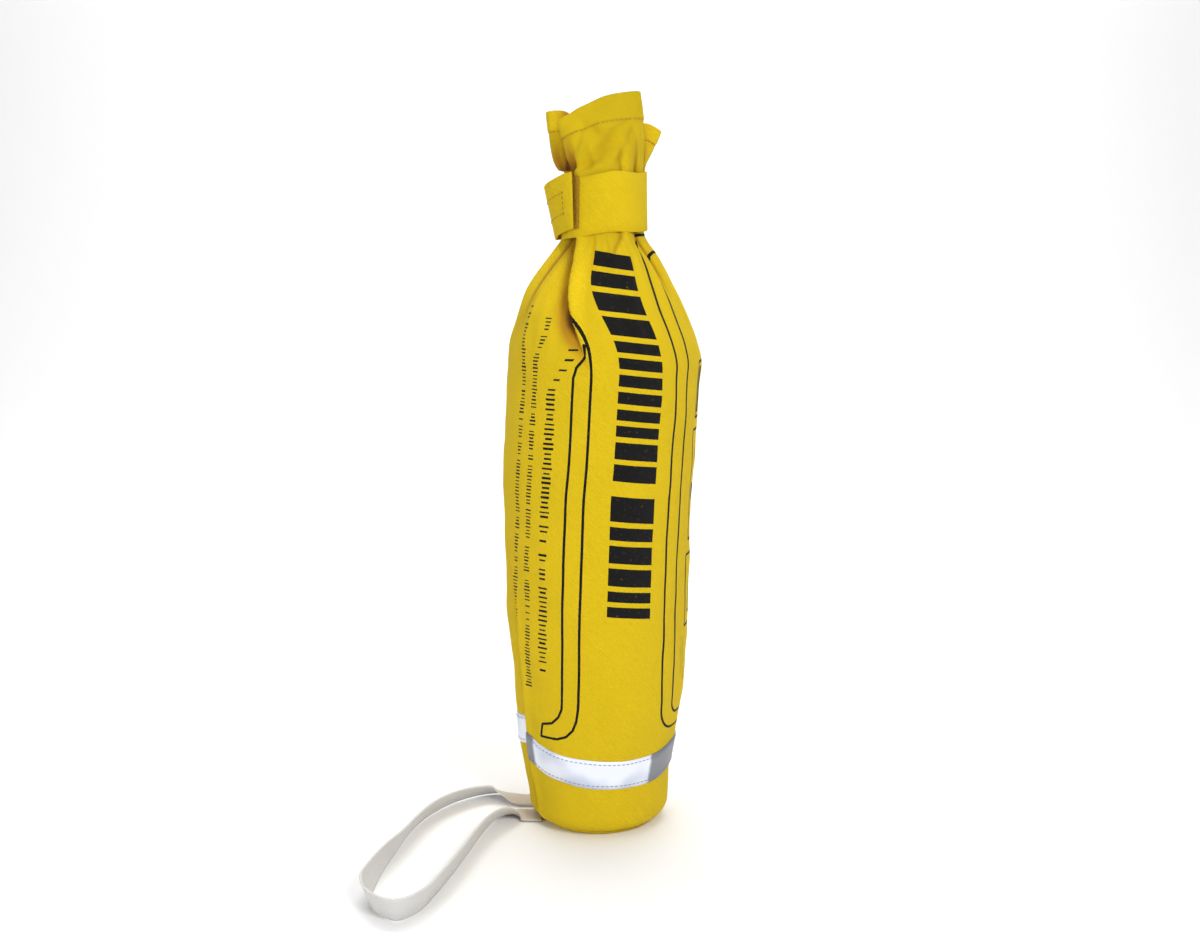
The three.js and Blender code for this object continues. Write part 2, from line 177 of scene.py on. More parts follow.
class Value:
    """A number in a shader. Python's operators on it add Math nodes to its tree."""

    def __init__(self, graph: Graph, socket: bpy.types.NodeSocket) -> None:
        """Wraps a node's output."""
        self.graph = graph
        self.socket = socket

    def _math(self, operation: str, *inputs: Any) -> Value:
        """Adds a Math node that takes these inputs in order."""
        node = self.graph.node("ShaderNodeMath", {"operation": operation}, dict(enumerate(inputs)))
        return Value(self.graph, node.outputs[0])

    def __add__(self, other: Any) -> Value:
        """Returns the sum."""
        return self._math("ADD", self, other)

    __radd__ = __add__

    def __sub__(self, other: Any) -> Value:
        """Returns this less other."""
        return self._math("SUBTRACT", self, other)

    def __rsub__(self, other: Any) -> Value:
        """Returns other less this."""
        return self._math("SUBTRACT", other, self)

    def __mul__(self, other: Any) -> Value:
        """Returns the product."""
        return self._math("MULTIPLY", self, other)

    __rmul__ = __mul__

    def __truediv__(self, other: Any) -> Value:
        """Returns this over other."""
        return self._math("DIVIDE", self, other)

    def __abs__(self) -> Value:
        """Returns the size without its sign."""
        return self._math("ABSOLUTE", self)

    def wave(self) -> Value:
        """Returns the sine."""
        return self._math("SINE", self)

    def root(self) -> Value:
        """Returns the square root."""
        return self._math("SQRT", self)

    def whole(self) -> Value:
        """Returns the whole number below."""
        return self._math("FLOOR", self)

    def part(self) -> Value:
        """Returns what is left above the whole number below."""
        return self._math("FRACT", self)

    def most(self, other: Any) -> Value:
        """Returns the greater of two."""
        return self._math("MAXIMUM", self, other)

    def least(self, other: Any) -> Value:
        """Returns the lesser of two."""
        return self._math("MINIMUM", self, other)

    def above(self, other: Any) -> Value:
        """Returns 1 where this is above other, else 0."""
        return self._math("GREATER_THAN", self, other)

    def below(self, other: Any) -> Value:
        """Returns 1 where this is below other, else 0."""
        return self._math("LESS_THAN", self, other)

    def rise(self, low: float, high: float) -> Value:
        """Returns 0 up to low and 1 from high on, with a smooth rise between them."""
        settings = {"interpolation_type": "SMOOTHSTEP"}
        values = {"Value": self, "From Min": low, "From Max": high}
        return Value(self.graph, self.graph.node("ShaderNodeMapRange", settings, values).outputs[0])


class Graph:
    """Builds one node tree, of a material or of Geometry Nodes."""

    def __init__(self, tree: bpy.types.NodeTree) -> None:
        """Starts from an emptied tree."""
        self.tree = tree
        tree.nodes.clear()

    def node(
        self, kind: str, settings: dict[str, Any] | None = None, values: dict[Any, Any] | None = None
    ) -> Any:
        """Adds a node.

        Args:
            kind: the node's type name.
            settings: its own settings, set first.
            values: by input name or number, a plain value, or a Value or an output to link.

        Returns:
            The node.
        """
        made = self.tree.nodes.new(kind)
        for key, value in (settings or {}).items():
            setattr(made, key, value)
        for key, value in (values or {}).items():
            socket = made.inputs[key]
            value = value.socket if isinstance(value, Value) else value
            if isinstance(value, bpy.types.NodeSocket):
                self.tree.links.new(value, socket)
            else:
                socket.default_value = value
        return made

    def mix(self, share: Any, first: Any, second: Any) -> bpy.types.NodeSocket:
        """Mixes two colours.

        Args:
            share: how much of the second shows.
            first: a colour or an output.
            second: a colour or an output.

        Returns:
            The mixed colour.
        """
        ends = [(*c, 1.0) if isinstance(c, tuple) else c for c in (first, second)]
        values = {0: share, 6: ends[0], 7: ends[1]}
        return self.node("ShaderNodeMix", {"data_type": "RGBA"}, values).outputs[2]

    def noise(self, place: Any, scale: float, detail: float = 2.0) -> Value:
        """Soft noise.

        Args:
            place: the coordinates that it is read at.
            scale: how many lumps there are to a unit of place.
            detail: how many finer layers it has.

        Returns:
            The noise, from 0 to 1 and mostly near a half.
        """
        values = {"Vector": place, "Scale": scale, "Detail": detail}
        return Value(self, self.node("ShaderNodeTexNoise", None, values).outputs[0])

    def random(self, number: Value) -> Value:
        """Returns a random number from 0 to 1 for each different number."""
        settings = {"noise_dimensions": "1D"}
        return Value(self, self.node("ShaderNodeTexWhiteNoise", settings, {"W": number}).outputs[0])

    def cloth_place(self) -> tuple[Value, Value, bpy.types.NodeSocket]:
        """Returns how far across and along the cloth a point is, in millimetres, then its map in metres."""
        found = self.node("ShaderNodeUVMap", {"uv_map": CLOTH_MAP}).outputs[0]
        split = self.node("ShaderNodeSeparateXYZ", None, {0: found})
        return (Value(self, split.outputs[0]) / MM, Value(self, split.outputs[1]) / MM, found)

    def object_place(self) -> tuple[list[Value], bpy.types.NodeSocket]:
        """Returns where a point of the object is, in millimetres by axis, then as one in metres."""
        found = self.node("ShaderNodeTexCoord").outputs["Object"]
        split = self.node("ShaderNodeSeparateXYZ", None, {0: found})
        return [Value(self, output) / MM for output in split.outputs], found

    def attribute(self, name: str) -> Value:
        """Returns a number that the mesh holds at each point."""
        return Value(self, self.node("ShaderNodeAttribute", {"attribute_name": name}).outputs["Fac"])


# ---------------------------------------------------------------------------------------------------
# Finishes
# ---------------------------------------------------------------------------------------------------


@dataclass(frozen=True)
class Finish:
    """What every finish has. Each kind works out its own colour, roughness and bump."""

    name: str
    colour: Colour
    roughness: float = 0.85
    sheen: float = 0.0
    specular: float = 0.25
    metallic: float = 0.0

    def surface(self, graph: Graph) -> tuple[Any, Any, Value, float]:
        """Returns the colour, the roughness, the height of the bump and its depth in metres."""
        raise NotImplementedError

    def material(self) -> bpy.types.Material:
        """Returns the finish as a material, which is made once."""
        found = bpy.data.materials.get(self.name)
        if found:
            return found
        made = bpy.data.materials.new(self.name)
        made.use_nodes = True
        graph = Graph(made.node_tree)
        colour, roughness, height, depth = self.surface(graph)
        bump = graph.node("ShaderNodeBump", None, {"Height": height, "Distance": depth, "Strength": 1.0})
        values = {
            "Base Color": colour,
            "Roughness": roughness,
            "Normal": bump.outputs[0],
            "Metallic": self.metallic,
            "Sheen Weight": self.sheen,
            "Specular IOR Level": self.specular,
        }
        shader = graph.node("ShaderNodeBsdfPrincipled", None, values)
        graph.node("ShaderNodeOutputMaterial", None, {"Surface": shader.outputs[0]})
        return made

    def shade(self, darker: float) -> Colour:
        """Returns the finish's colour, darkened to a share of itself."""
        return tuple(channel * darker for channel in self.colour)


@dataclass(frozen=True)
class TickRow:
    """A printed row of short ticks that runs down the cloth."""

    middle: float
    width: float
    top: float
    bottom: float
    pitch: float
    swing: float = 0.0  # how far to the right its top end swings over


@dataclass(frozen=True)
class Box:
    """A printed outline of a rectangle."""

    low: tuple[float, float]
    high: tuple[float, float]
    corner: float = 0.6  # the radius of its corners


@dataclass(frozen=True)
class PrintedMarks:
    """Plain generic marks in the places of a safety bag's print: bars, outlines and rows of ticks.

    All sizes are millimetres on the laid-out cloth: across from the front's middle, and up from the foot.
    """

    line: float = 1.75
    broader: float = 0.3  # how much broader a line up the gathered cloth is, as a share
    gathered: tuple[float, float] = (318.0, 372.0)
    bleed: float = 0.35  # how unevenly the ink's edges lie
    bleed_scale: float = 900.0
    bars_across: tuple[float, float] = (9.0, 38.5)
    first_group: tuple[float, ...] = (21, 26, 17, 18, 17, 24.5)
    second_group: tuple[float, ...] = (16, 8.5, 26, 17)
    first_top: float = 381.0
    second_top: float = 231.0
    group_gap: float = 3.4
    bar_slit: float = 3.2
    bar_pitch: float = 10.8
    slant: float = 0.13
    left_outer: tuple[tuple[float, float], ...] = (
        (-8, 376), (-8, 92), (-8.5, 84), (-10.7, 77), (-15, 72), (-21, 69.6), (-34, 69), (-33.5, 78),
    )
    left_inner: tuple[tuple[float, float], ...] = (
        (-9.6, 326), (-11.5, 319), (-17.5, 312.5), (-19.5, 306), (-19.5, 91), (-21.5, 85), (-26, 80),
        (-33.5, 78),
    )
    boxes: tuple[Box, ...] = (
        Box((51, 70), (147, 392), 17),
        Box((63, 80), (135, 381), 9),
        Box((82, 276), (116, 312)),
        Box((80, 196), (118, 268)),
        Box((78, 138), (118, 186)),
        Box((86, 146), (104, 166)),
    )
    filled: tuple[Box, ...] = (Box((84, 279), (90, 309)), Box((84, 222), (100, 232)))
    rows: tuple[TickRow, ...] = (
        TickRow(-34.5, 7.6, 324, 114, 3.1, 17.0),
        TickRow(-48.0, 5.4, 343, 101, 2.2, 21.0),
        TickRow(-59.5, 5.2, 353, 108, 2.2, 24.0),
        TickRow(74.0, 1.8, 132, 104, 1.5),
        TickRow(79.5, 1.8, 130, 100, 1.5),
        TickRow(88.0, 2.6, 262, 236, 1.8),
        TickRow(88.0, 2.6, 218, 202, 1.8),
    )
    left_out: float = 0.13  # the share of a row's ticks that are left out
    thin_tick: float = 0.28  # the thinnest tick, as a share of the pitch
    thick_tick: float = 0.54
    short_tick: float = 0.58  # the shortest tick, as a share of the row's width

    def mask(self, graph: Graph, across: Value, along: Value) -> Value:
        """Returns 1 where there is ink."""
        wobble = graph.noise(graph.cloth_place()[2], self.bleed_scale) - 0.5
        across, along = across + wobble * self.bleed, along + wobble * self.bleed
        ink = self._bars(across, along)
        for shape in (self._left_frame(across, along), self._right_panel(across, along)):
            ink = ink.most(shape)
        return ink.most(self._tick_rows(graph, across, along))

    def _half_line(self, along: Value) -> Value:
        """Returns half the width of a line, which is drawn broader where the cloth is gathered."""
        return along.rise(*self.gathered) * (self.line * self.broader) + self.line / 2

    @staticmethod
    def _band(value: Value, low: float, high: float) -> Value:
        """Returns 1 between low and high."""
        return abs(value - (low + high) / 2).below((high - low) / 2)

    def _bars(self, across: Value, along: Value) -> Value:
        """Returns the front's column of heavy slanted bars, in two groups."""
        slanted = along + (across - sum(self.bars_across) / 2) * self.slant
        ink: Value | None = None
        for top, group in ((self.first_top, self.first_group), (self.second_top, self.second_group)):
            for length in group:
                bars = max(1, round(length / self.bar_pitch))
                thick = (length - (bars - 1) * self.bar_slit) / bars
                for i in range(bars):
                    start = top - i * (thick + self.bar_slit)
                    bar = self._band(slanted, start - thick, start)
                    ink = bar if ink is None else ink + bar
                top -= length + self.group_gap
        return ink * self._band(across, *self.bars_across)

    def _stroke(self, across: Value, along: Value, corners: Sequence[tuple[float, float]]) -> Value:
        """Returns a line through corners."""
        nearest: Value | None = None
        for (x, y), (next_x, next_y) in zip(corners, corners[1:]):
            run, rise = next_x - x, next_y - y
            squared = run * run + rise * rise
            from_x, from_y = across - x, along - y
            share = (from_x * (run / squared) + from_y * (rise / squared)).most(0.0).least(1.0)
            off_x, off_y = from_x - share * run, from_y - share * rise
            distance = off_x * off_x + off_y * off_y
            nearest = distance if nearest is None else nearest.least(distance)
        half = self._half_line(along)
        return nearest.below(half * half)

    def _outline(self, across: Value, along: Value, box: Box) -> Value:
        """Returns a box's line. Its upright sides are broader where the cloth is gathered."""
        (left, low), (right, high) = box.low, box.high
        past_x = abs(across - (left + right) / 2) - ((right - left) / 2 - box.corner)
        past_y = abs(along - (low + high) / 2) - ((high - low) / 2 - box.corner)
        out_x, out_y = past_x.most(0.0), past_y.most(0.0)
        outside = (out_x * out_x + out_y * out_y).root() + past_x.most(past_y).least(0.0) - box.corner
        upright = past_x.above(past_y)
        half = self._half_line(along) * upright + (1 - upright) * (self.line / 2)
        return abs(outside).below(half)

    def _left_frame(self, across: Value, along: Value) -> Value:
        """Returns the narrow double line left of the bars, with its foot turned outwards."""
        return self._stroke(across, along, self.left_outer).most(
            self._stroke(across, along, self.left_inner)
        )

    def _right_panel(self, across: Value, along: Value) -> Value:
        """Returns the panel right of the bars: two outlines, the boxes in it and two filled bars."""
        ink: Value | None = None
        for box in self.filled:
            bar = self._band(across, box.low[0], box.high[0]) * self._band(along, box.low[1], box.high[1])
            ink = bar if ink is None else ink.most(bar)
        for box in self.boxes:
            ink = ink.most(self._outline(across, along, box))
        return ink

    def _tick_rows(self, graph: Graph, across: Value, along: Value) -> Value:
        """Returns the rows of short ticks, uneven in size and with gaps here and there."""
        ink: Value | None = None
        for number, row in enumerate(self.rows):
            cell = along / row.pitch + 31 * number
            pick = graph.random(cell.whole())
            place = across - row.middle
            if row.swing:
                place = place - along.rise(row.top - 30, row.top + 5) * row.swing
            tall = (pick * 7).part() * (1 - self.short_tick) + self.short_tick
            thick = pick * (self.thick_tick - self.thin_tick) + self.thin_tick
            tick = cell.part().below(thick) * abs(place).below(tall * (row.width / 2))
            shown = tick * pick.above(self.left_out) * self._band(along, row.bottom, row.top)
            ink = shown if ink is None else ink.most(shown)
        return ink


@dataclass(frozen=True)
class CanvasFinish(Finish):
    """Matt plain-woven cotton, with painted shade in its folds, and worn ink where it is printed."""

    # painted shade for the folds, then a nearly black painted shade for the deepest of them
    fold_shade_colour: Colour = (0.52, 0.235, 0.012)
    deep_fold_shade_colour: Colour = (0.13, 0.035, 0.006)
    ink: Colour = (0.008, 0.0075, 0.008)
    thread_pitch: float = 0.8
    rib_pitch: float = 2.16  # of the slanting ribs that the weave shows from further off
    slub_scale: float = 420.0
    cloud_scale: float = 16.0
    fleck_scale: float = 1500.0
    weave_depth: float = 0.0003
    ink_gloss: float = 0.22  # how much smoother ink is than cloth
    ink_wear: float = 0.12
    marks: PrintedMarks | None = None
    mapped: bool = True  # whether the mesh has a map of its cloth, or else its own coordinates serve

    def surface(self, graph: Graph) -> tuple[Any, Any, Value, float]:
        """Returns woven, softly uneven cloth, with its print."""
        if self.mapped:
            across, along, place = graph.cloth_place()
        else:
            axes, place = graph.object_place()
            across, along = axes[0] + axes[1] * 0.73, axes[2] + axes[1] * 0.41
        warp = (across * (TURN / self.thread_pitch)).wave()
        weft = (along * (TURN / self.thread_pitch)).wave()
        rib = ((across + along) * (TURN / self.rib_pitch)).wave()
        slub = graph.noise(place, self.slub_scale, 3.0)
        weave = warp * weft * 0.6 + rib * 0.45 + slub * 1.1
        cloud = graph.noise(place, self.cloud_scale, 3.0).rise(0.3, 0.75)
        fleck = graph.noise(place, self.fleck_scale, 1.0)
        tone = graph.mix(cloud * 0.5, self.colour, self.shade(0.9))
        tone = graph.mix((fleck - 0.5) * 0.8 + slub * 0.3, tone, self.shade(0.64))
        if self.mapped:
            # painted shade: browner where the folds' painted shade attribute is high, near black where it is
            # highest
            fold = graph.attribute(FOLD_SHADE)
            tone = graph.mix(fold.rise(0.02, 0.5) * 0.88, tone, self.fold_shade_colour)
            tone = graph.mix(fold.rise(0.5, 0.95) * 0.95, tone, self.deep_fold_shade_colour)
        roughness: Any = self.roughness
        if self.marks:
            ink = self.marks.mask(graph, across, along)
            worn = ink * (1 - slub.rise(0.6, 0.8) * self.ink_wear)
            tone = graph.mix(worn, tone, self.ink)
            roughness = self.roughness - ink * self.ink_gloss
        return tone, roughness, weave, self.weave_depth


@dataclass(frozen=True)
class TapeFinish(Finish):
    """Glass-beaded tape, with a painted reflection that is bright at the front, painted shade that makes it
    greyer round the sides, and patches of painted streaky shade.
    """

    side_shade_colour: Colour = (0.16, 0.165, 0.185)
    reflection_middle: float = 6.5  # how far along the tape the middle of its painted bright reflection is
    reflection_half: float = 42.5  # how far along to both sides of that the painted reflection reaches
    reflection_again: float = 246.0  # where the end that laps behind the side seam starts, which gets the painted bright reflection again
    edge: float = 1.5  # half the width in which the painted reflection fades
    streak_shade_colour: Colour = (0.47, 0.53, 0.68)
    bead_depth: float = 0.00006

    def surface(self, graph: Graph) -> tuple[Any, Any, Value, float]:
        """Returns beaded, lightly scuffed tape."""
        across, along, place = graph.cloth_place()
        scuff = graph.noise(place, 60.0, 4.0)
        # patches of painted streaky shade
        streak_shade = graph.noise(place, 22.0, 2.0).rise(0.45, 0.62)
        bead = graph.noise(place, 2600.0, 1.0)
        from_front = abs(across - self.reflection_middle + (scuff - 0.5) * 5)
        # painted shade: greyer round the sides, past the painted reflection
        side = from_front.rise(self.reflection_half - self.edge, self.reflection_half + self.edge)
        side = side * across.below(self.reflection_again)
        tone = graph.mix(streak_shade * 0.75, self.colour, self.streak_shade_colour)
        tone = graph.mix((bead - 0.5) * 0.3 + 0.05, tone, self.shade(0.55))
        tone = graph.mix(side * 0.92, tone, self.side_shade_colour)
        return tone, scuff * 0.25 + self.roughness, bead + scuff * 0.5, self.bead_depth


@dataclass(frozen=True)
class WebbingFinish(Finish):
    """Flat woven webbing with a twill face, with painted shade and painted yellow light bounced off the bag
    where it nears the bag.
    """

    bag_shade_and_stain: Colour = (0.60, 0.50, 0.38)
    bag_shade_reach: float = 42.0  # millimetres from the bag
    twill_pitch: float = 2.4
    warp_pitch: float = 1.2
    selvedge: tuple[float, float] = (7.6, 8.4)  # millimetres from the middle
    relief: float = 0.00022

    def surface(self, graph: Graph) -> tuple[Any, Any, Value, float]:
        """Returns chevron ribs, with thick selvedges."""
        across, along, place = graph.cloth_place()
        rib = ((abs(across) * 1.4 + along) * (TURN / self.twill_pitch)).wave()
        warp = (across * (TURN / self.warp_pitch)).wave()
        selvedge = abs(across).rise(*self.selvedge)
        fuzz = graph.noise(place, 1400.0, 2.0)
        stain = graph.noise(place, 45.0, 2.0)
        tone = graph.mix(rib * 0.06 + fuzz * 0.14, self.colour, self.shade(0.62))
        # painted shade and painted yellow light bounced off the bag, near the bag; the same colour also
        # tints the stains
        bag_shade = 1 - along.rise(self.bag_shade_reach * 0.35, self.bag_shade_reach)
        tone = graph.mix(bag_shade * 0.65 + stain.rise(0.55, 0.8) * 0.12, tone, self.bag_shade_and_stain)
        height = rib * 0.5 + warp * 0.3 + fuzz * 0.5 + selvedge * 0.9
        return tone, self.roughness, height, self.relief


@dataclass(frozen=True)
class TwistedFinish(Finish):
    """Thread or line: strands laid round each other."""

    strand: float = 1.1  # millimetres from strand to strand
    relief: float = 0.00012

    def surface(self, graph: Graph) -> tuple[Any, Any, Value, float]:
        """Returns strands that slant across the piece."""
        axes, place = graph.object_place()
        lay = ((axes[0] + axes[1] * 0.6 + axes[2]) * (TURN / self.strand)).wave()
        fuzz = graph.noise(place, 1800.0, 2.0)
        tone = graph.mix(lay * 0.18 + fuzz * 0.3, self.colour, self.shade(0.55))
        return tone, self.roughness, lay + fuzz, self.relief


@dataclass(frozen=True)
class CellFinish(Finish):
    """Foam, or a patch of hooks or loops: a close field of cells."""

    cell: float = 1.6  # millimetres from cell to cell
    relief: float = 0.0004

    def surface(self, graph: Graph) -> tuple[Any, Any, Value, float]:
        """Returns packed round cells."""
        place = graph.object_place()[1]
        values = {"Vector": place, "Scale": 1 / (self.cell * MM)}
        cells = Value(graph, graph.node("ShaderNodeTexVoronoi", None, values).outputs["Distance"])
        cloud = graph.noise(place, 40.0, 3.0)
        tone = graph.mix(cells.rise(0.2, 0.8) * 0.6 + cloud * 0.2, self.colour, self.shade(0.5))
        return tone, self.roughness, 1 - cells, self.relief


@dataclass(frozen=True)
class FloorFinish(Finish):
    """A plain pale floor with a trace of tone in it."""

    def surface(self, graph: Graph) -> tuple[Any, Any, Value, float]:
        """Returns an almost even surface."""
        place = graph.object_place()[1]
        cloud = graph.noise(place, 3.0, 2.0)
        return graph.mix(cloud * 0.04, self.colour, self.shade(0.9)), self.roughness, cloud, 0.0001


YELLOW: Colour = (0.87, 0.61, 0.009)
CANVAS = CanvasFinish("printed_canvas", YELLOW, sheen=0.02, specular=0.12, marks=PrintedMarks())
PLAIN_CANVAS = CanvasFinish("plain_canvas", YELLOW, sheen=0.02, specular=0.12)
LINING_CANVAS = CanvasFinish("lining_canvas", YELLOW, specular=0.12, mapped=False)
# its colour is the painted bright reflection of the tape's front
TAPE = TapeFinish("reflective_tape", (0.83, 0.87, 0.97), roughness=0.32, specular=0.6, metallic=0.15)
WEBBING = WebbingFinish("cotton_webbing", (0.70, 0.69, 0.68), specular=0.15)
THREAD = TwistedFinish("canvas_thread", (0.50, 0.25, 0.02), strand=0.5)
PALE_THREAD = TwistedFinish("tape_thread", (0.33, 0.35, 0.52), strand=0.5)
LINE = TwistedFinish("throwing_line", (0.86, 0.42, 0.03), roughness=0.6, strand=4.0)
FOAM = CellFinish("float_foam", (0.62, 0.62, 0.60), cell=2.2)
HOOKS = CellFinish("hook_patch", (0.70, 0.52, 0.02), roughness=0.5, cell=1.5)
# the loop patch's brown, darkened as painted shadow for the gap beside the tab's free end
SHADOWED_LOOPS = CellFinish("loop_patch", (0.48, 0.27, 0.015), roughness=0.95, cell=1.0)
FLOOR = FloorFinish("pale_floor", (0.93, 0.93, 0.93), roughness=0.7, specular=0.1)


# ---------------------------------------------------------------------------------------------------
# Meshes
# ---------------------------------------------------------------------------------------------------


def mesh_object(
    name: str, points: Array, faces: Sequence[Sequence[int]], finish: Finish, cloth: Array | None = None
) -> bpy.types.Object:
    """Makes an object of a mesh.

    Args:
        name: the piece's name.
        points: the vertices, in millimetres.
        faces: the vertices of each face.
        finish: what it is dressed in.
        cloth: each face corner's place on the laid-out cloth, in millimetres.

    Returns:
        The object, which is shaded smooth.
    """
    mesh = bpy.data.meshes.new(name)
    mesh.from_pydata((np.asarray(points).reshape(-1, 3) * MM).tolist(), [], faces)
    mesh.polygons.foreach_set("use_smooth", [True] * len(mesh.polygons))
    if cloth is not None:
        layer = mesh.uv_layers.new(name=CLOTH_MAP)
        layer.data.foreach_set("uv", (np.asarray(cloth, float) * MM).ravel())
    mesh.materials.append(finish.material())
    made = bpy.data.objects.new(name, mesh)
    bpy.context.scene.collection.objects.link(made)
    return made


def woven_grid(
    name: str,
    grid: Array,
    cloth: Array | None,
    finish: Finish,
    closed: tuple[bool, bool] = (False, False),
    capped: bool = False,
) -> bpy.types.Object:
    """Makes a surface of a grid of points, with a map of its cloth.

    Args:
        name: the piece's name.
        grid: the points by column and row, in millimetres.
        cloth: each point's place on the laid-out cloth, or None for no map. It has one column or row
            more where closed.
        finish: what it is dressed in.
        closed: whether the last column meets the first, and the last row the first.
        capped: whether a face closes each end, the first column and the last.

    Returns:
        The object.
    """
    columns, rows = grid.shape[:2]
    around, up = columns - (not closed[0]), rows - (not closed[1])
    number = np.arange(columns * rows).reshape(columns, rows)
    i, j = (a.ravel() for a in np.meshgrid(np.arange(around), np.arange(up), indexing="ij"))
    column, row = np.stack([(i, j), (i + 1, j), (i + 1, j + 1), (i, j + 1)], axis=-1)
    faces = number[column % columns, row % rows].tolist()
    column, row = column.ravel(), row.ravel()
    if capped:
        rim = np.arange(rows)
        for end, order in ((0, rim), (columns - 1, rim[::-1])):
            faces.append(number[end, order].tolist())
            column, row = np.append(column, np.full(rows, end)), np.append(row, order)
    return mesh_object(name, grid, faces, finish, None if cloth is None else cloth[column, row])


def evaluated(piece: bpy.types.Object) -> bpy.types.Object:
    """Turns an object with modifiers into a plain mesh, and takes the modifiers off."""
    graph = bpy.context.evaluated_depsgraph_get()
    mesh = bpy.data.meshes.new_from_object(piece.evaluated_get(graph), depsgraph=graph)
    piece.modifiers.clear()
    piece.data = mesh
    return piece


def strip_solid(
    name: str,
    middle: Array,
    across: Array,
    face: Array,
    cloth_along: Array,
    finish: Finish,
    thickness: float,
) -> bpy.types.Object:
    """Makes a flat strap with rounded edges, closed at its ends.

    Args:
        name: the piece's name.
        middle: the points that the middle of its cross-section follows, in millimetres.
        across: from the middle to the upper edge at each of them.
        face: the outward direction at each of them.
        cloth_along: how far along the strap each of them is.
        finish: what it is dressed in.
        thickness: how thick the strap is.

    Returns:
        The object, whose cross-section runs bottom, outer face, top and inner face.
    """
    lanes = np.array([-1, -0.965, -0.7, -0.35, 0, 0.35, 0.7, 0.965, 1])
    edge = np.where(np.abs(lanes) < 1, 1, EDGE_SHARE)
    outer = [middle + across * a + face * (thickness / 2 * e) for a, e in zip(lanes, edge)]
    inner = [middle + across * a - face * (thickness / 2 * e) for a, e in zip(lanes[::-1], edge[::-1])]
    grid = np.stack(outer + inner, axis=1)
    width = np.linalg.norm(across, axis=1)
    levels = np.concatenate([lanes, lanes[::-1], lanes[:1]])
    cloth = np.stack([width[:, None] * levels, cloth_along[:, None] + 0 * levels], axis=-1)
    return woven_grid(name, grid, cloth, finish, (False, True), capped=True)


@dataclass
class StitchMaker:
    """Sews rows of stitches along paths, with Geometry Nodes."""

    thread: float = 0.55
    length: float = 2.3
    pitch: float = 3.1

    def sew(
        self, name: str, paths: Sequence[Array], finish: Finish, body: Body | None, stand_in: str
    ) -> bpy.types.Object:
        """Sews rows of stitches.

        Args:
            name: the piece's name.
            paths: the points of each row, in millimetres.
            finish: the thread's finish.
            body: the body that they ride on, or None to leave them unattached.
            stand_in: the CAD node that they replace.

        Returns:
            The stitches as one plain mesh.
        """
        points = np.vstack(paths)
        edges, start = [], 0
        for path in paths:
            edges += [(start + k, start + k + 1) for k in range(len(path) - 1)]
            start += len(path)
        mesh = bpy.data.meshes.new(name)
        mesh.from_pydata((points * MM).tolist(), edges, [])
        made = bpy.data.objects.new(name, mesh)
        bpy.context.scene.collection.objects.link(made)
        modifier = made.modifiers.new("stitches", "NODES")
        modifier.node_group = self.tree()
        wanted = {
            "Pitch": self.pitch * MM,
            "Stitch Length": self.length * MM,
            "Thread Width": self.thread * MM,
            "Thread": finish.material(),
        }
        for item in modifier.node_group.interface.items_tree:
            if item.name in wanted:
                modifier[item.identifier] = wanted[item.name]
        evaluated(made)
        made.data.polygons.foreach_set("use_smooth", [True] * len(made.data.polygons))
        if body:
            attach(made, body.value)
        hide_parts(stand_in)
        log.info("%s: rows of stitches: %d", name, len(paths))
        return made

    @staticmethod
    def tree() -> bpy.types.NodeTree:
        """Returns the node tree that puts stitches along every line of a mesh, made once."""
        found = bpy.data.node_groups.get("row_of_stitches")
        if found:
            return found
        tree = bpy.data.node_groups.new("row_of_stitches", "GeometryNodeTree")
        face = tree.interface
        face.new_socket("Geometry", in_out="INPUT", socket_type="NodeSocketGeometry")
        for name in ("Pitch", "Stitch Length", "Thread Width"):
            face.new_socket(name, in_out="INPUT", socket_type="NodeSocketFloat")
        face.new_socket("Thread", in_out="INPUT", socket_type="NodeSocketMaterial")
        face.new_socket("Geometry", in_out="OUTPUT", socket_type="NodeSocketGeometry")
        graph = Graph(tree)
        given = graph.node("NodeGroupInput").outputs
        curve = graph.node("GeometryNodeMeshToCurve", None, {"Mesh": given["Geometry"]}).outputs[0]
        values = {"Curve": curve, "Length": given["Pitch"]}
        spaced = graph.node("GeometryNodeResampleCurve", {"mode": "LENGTH"}, values).outputs[0]
        tangent = graph.node("GeometryNodeInputTangent").outputs[0]
        turned = graph.node("FunctionNodeAlignRotationToVector", {"axis": "Z"}, {"Vector": tangent})
        ball = graph.node("GeometryNodeMeshUVSphere", None, {"Segments": 6, "Rings": 5, "Radius": 0.5})
        sizes = {"X": given["Thread Width"], "Y": given["Thread Width"], "Z": given["Stitch Length"]}
        values = {
            "Points": spaced,
            "Instance": ball.outputs[0],
            "Rotation": turned.outputs[0],
            "Scale": graph.node("ShaderNodeCombineXYZ", None, sizes).outputs[0],
        }
        stitches = graph.node("GeometryNodeInstanceOnPoints", None, values).outputs[0]
        real = graph.node("GeometryNodeRealizeInstances", None, {"Geometry": stitches}).outputs[0]
        values = {"Geometry": real, "Material": given["Thread"]}
        dressed = graph.node("GeometryNodeSetMaterial", None, values).outputs[0]
        graph.node("NodeGroupOutput", None, {"Geometry": dressed})
        return tree


STITCHES = StitchMaker()


# ---------------------------------------------------------------------------------------------------
# The bag
# ---------------------------------------------------------------------------------------------------


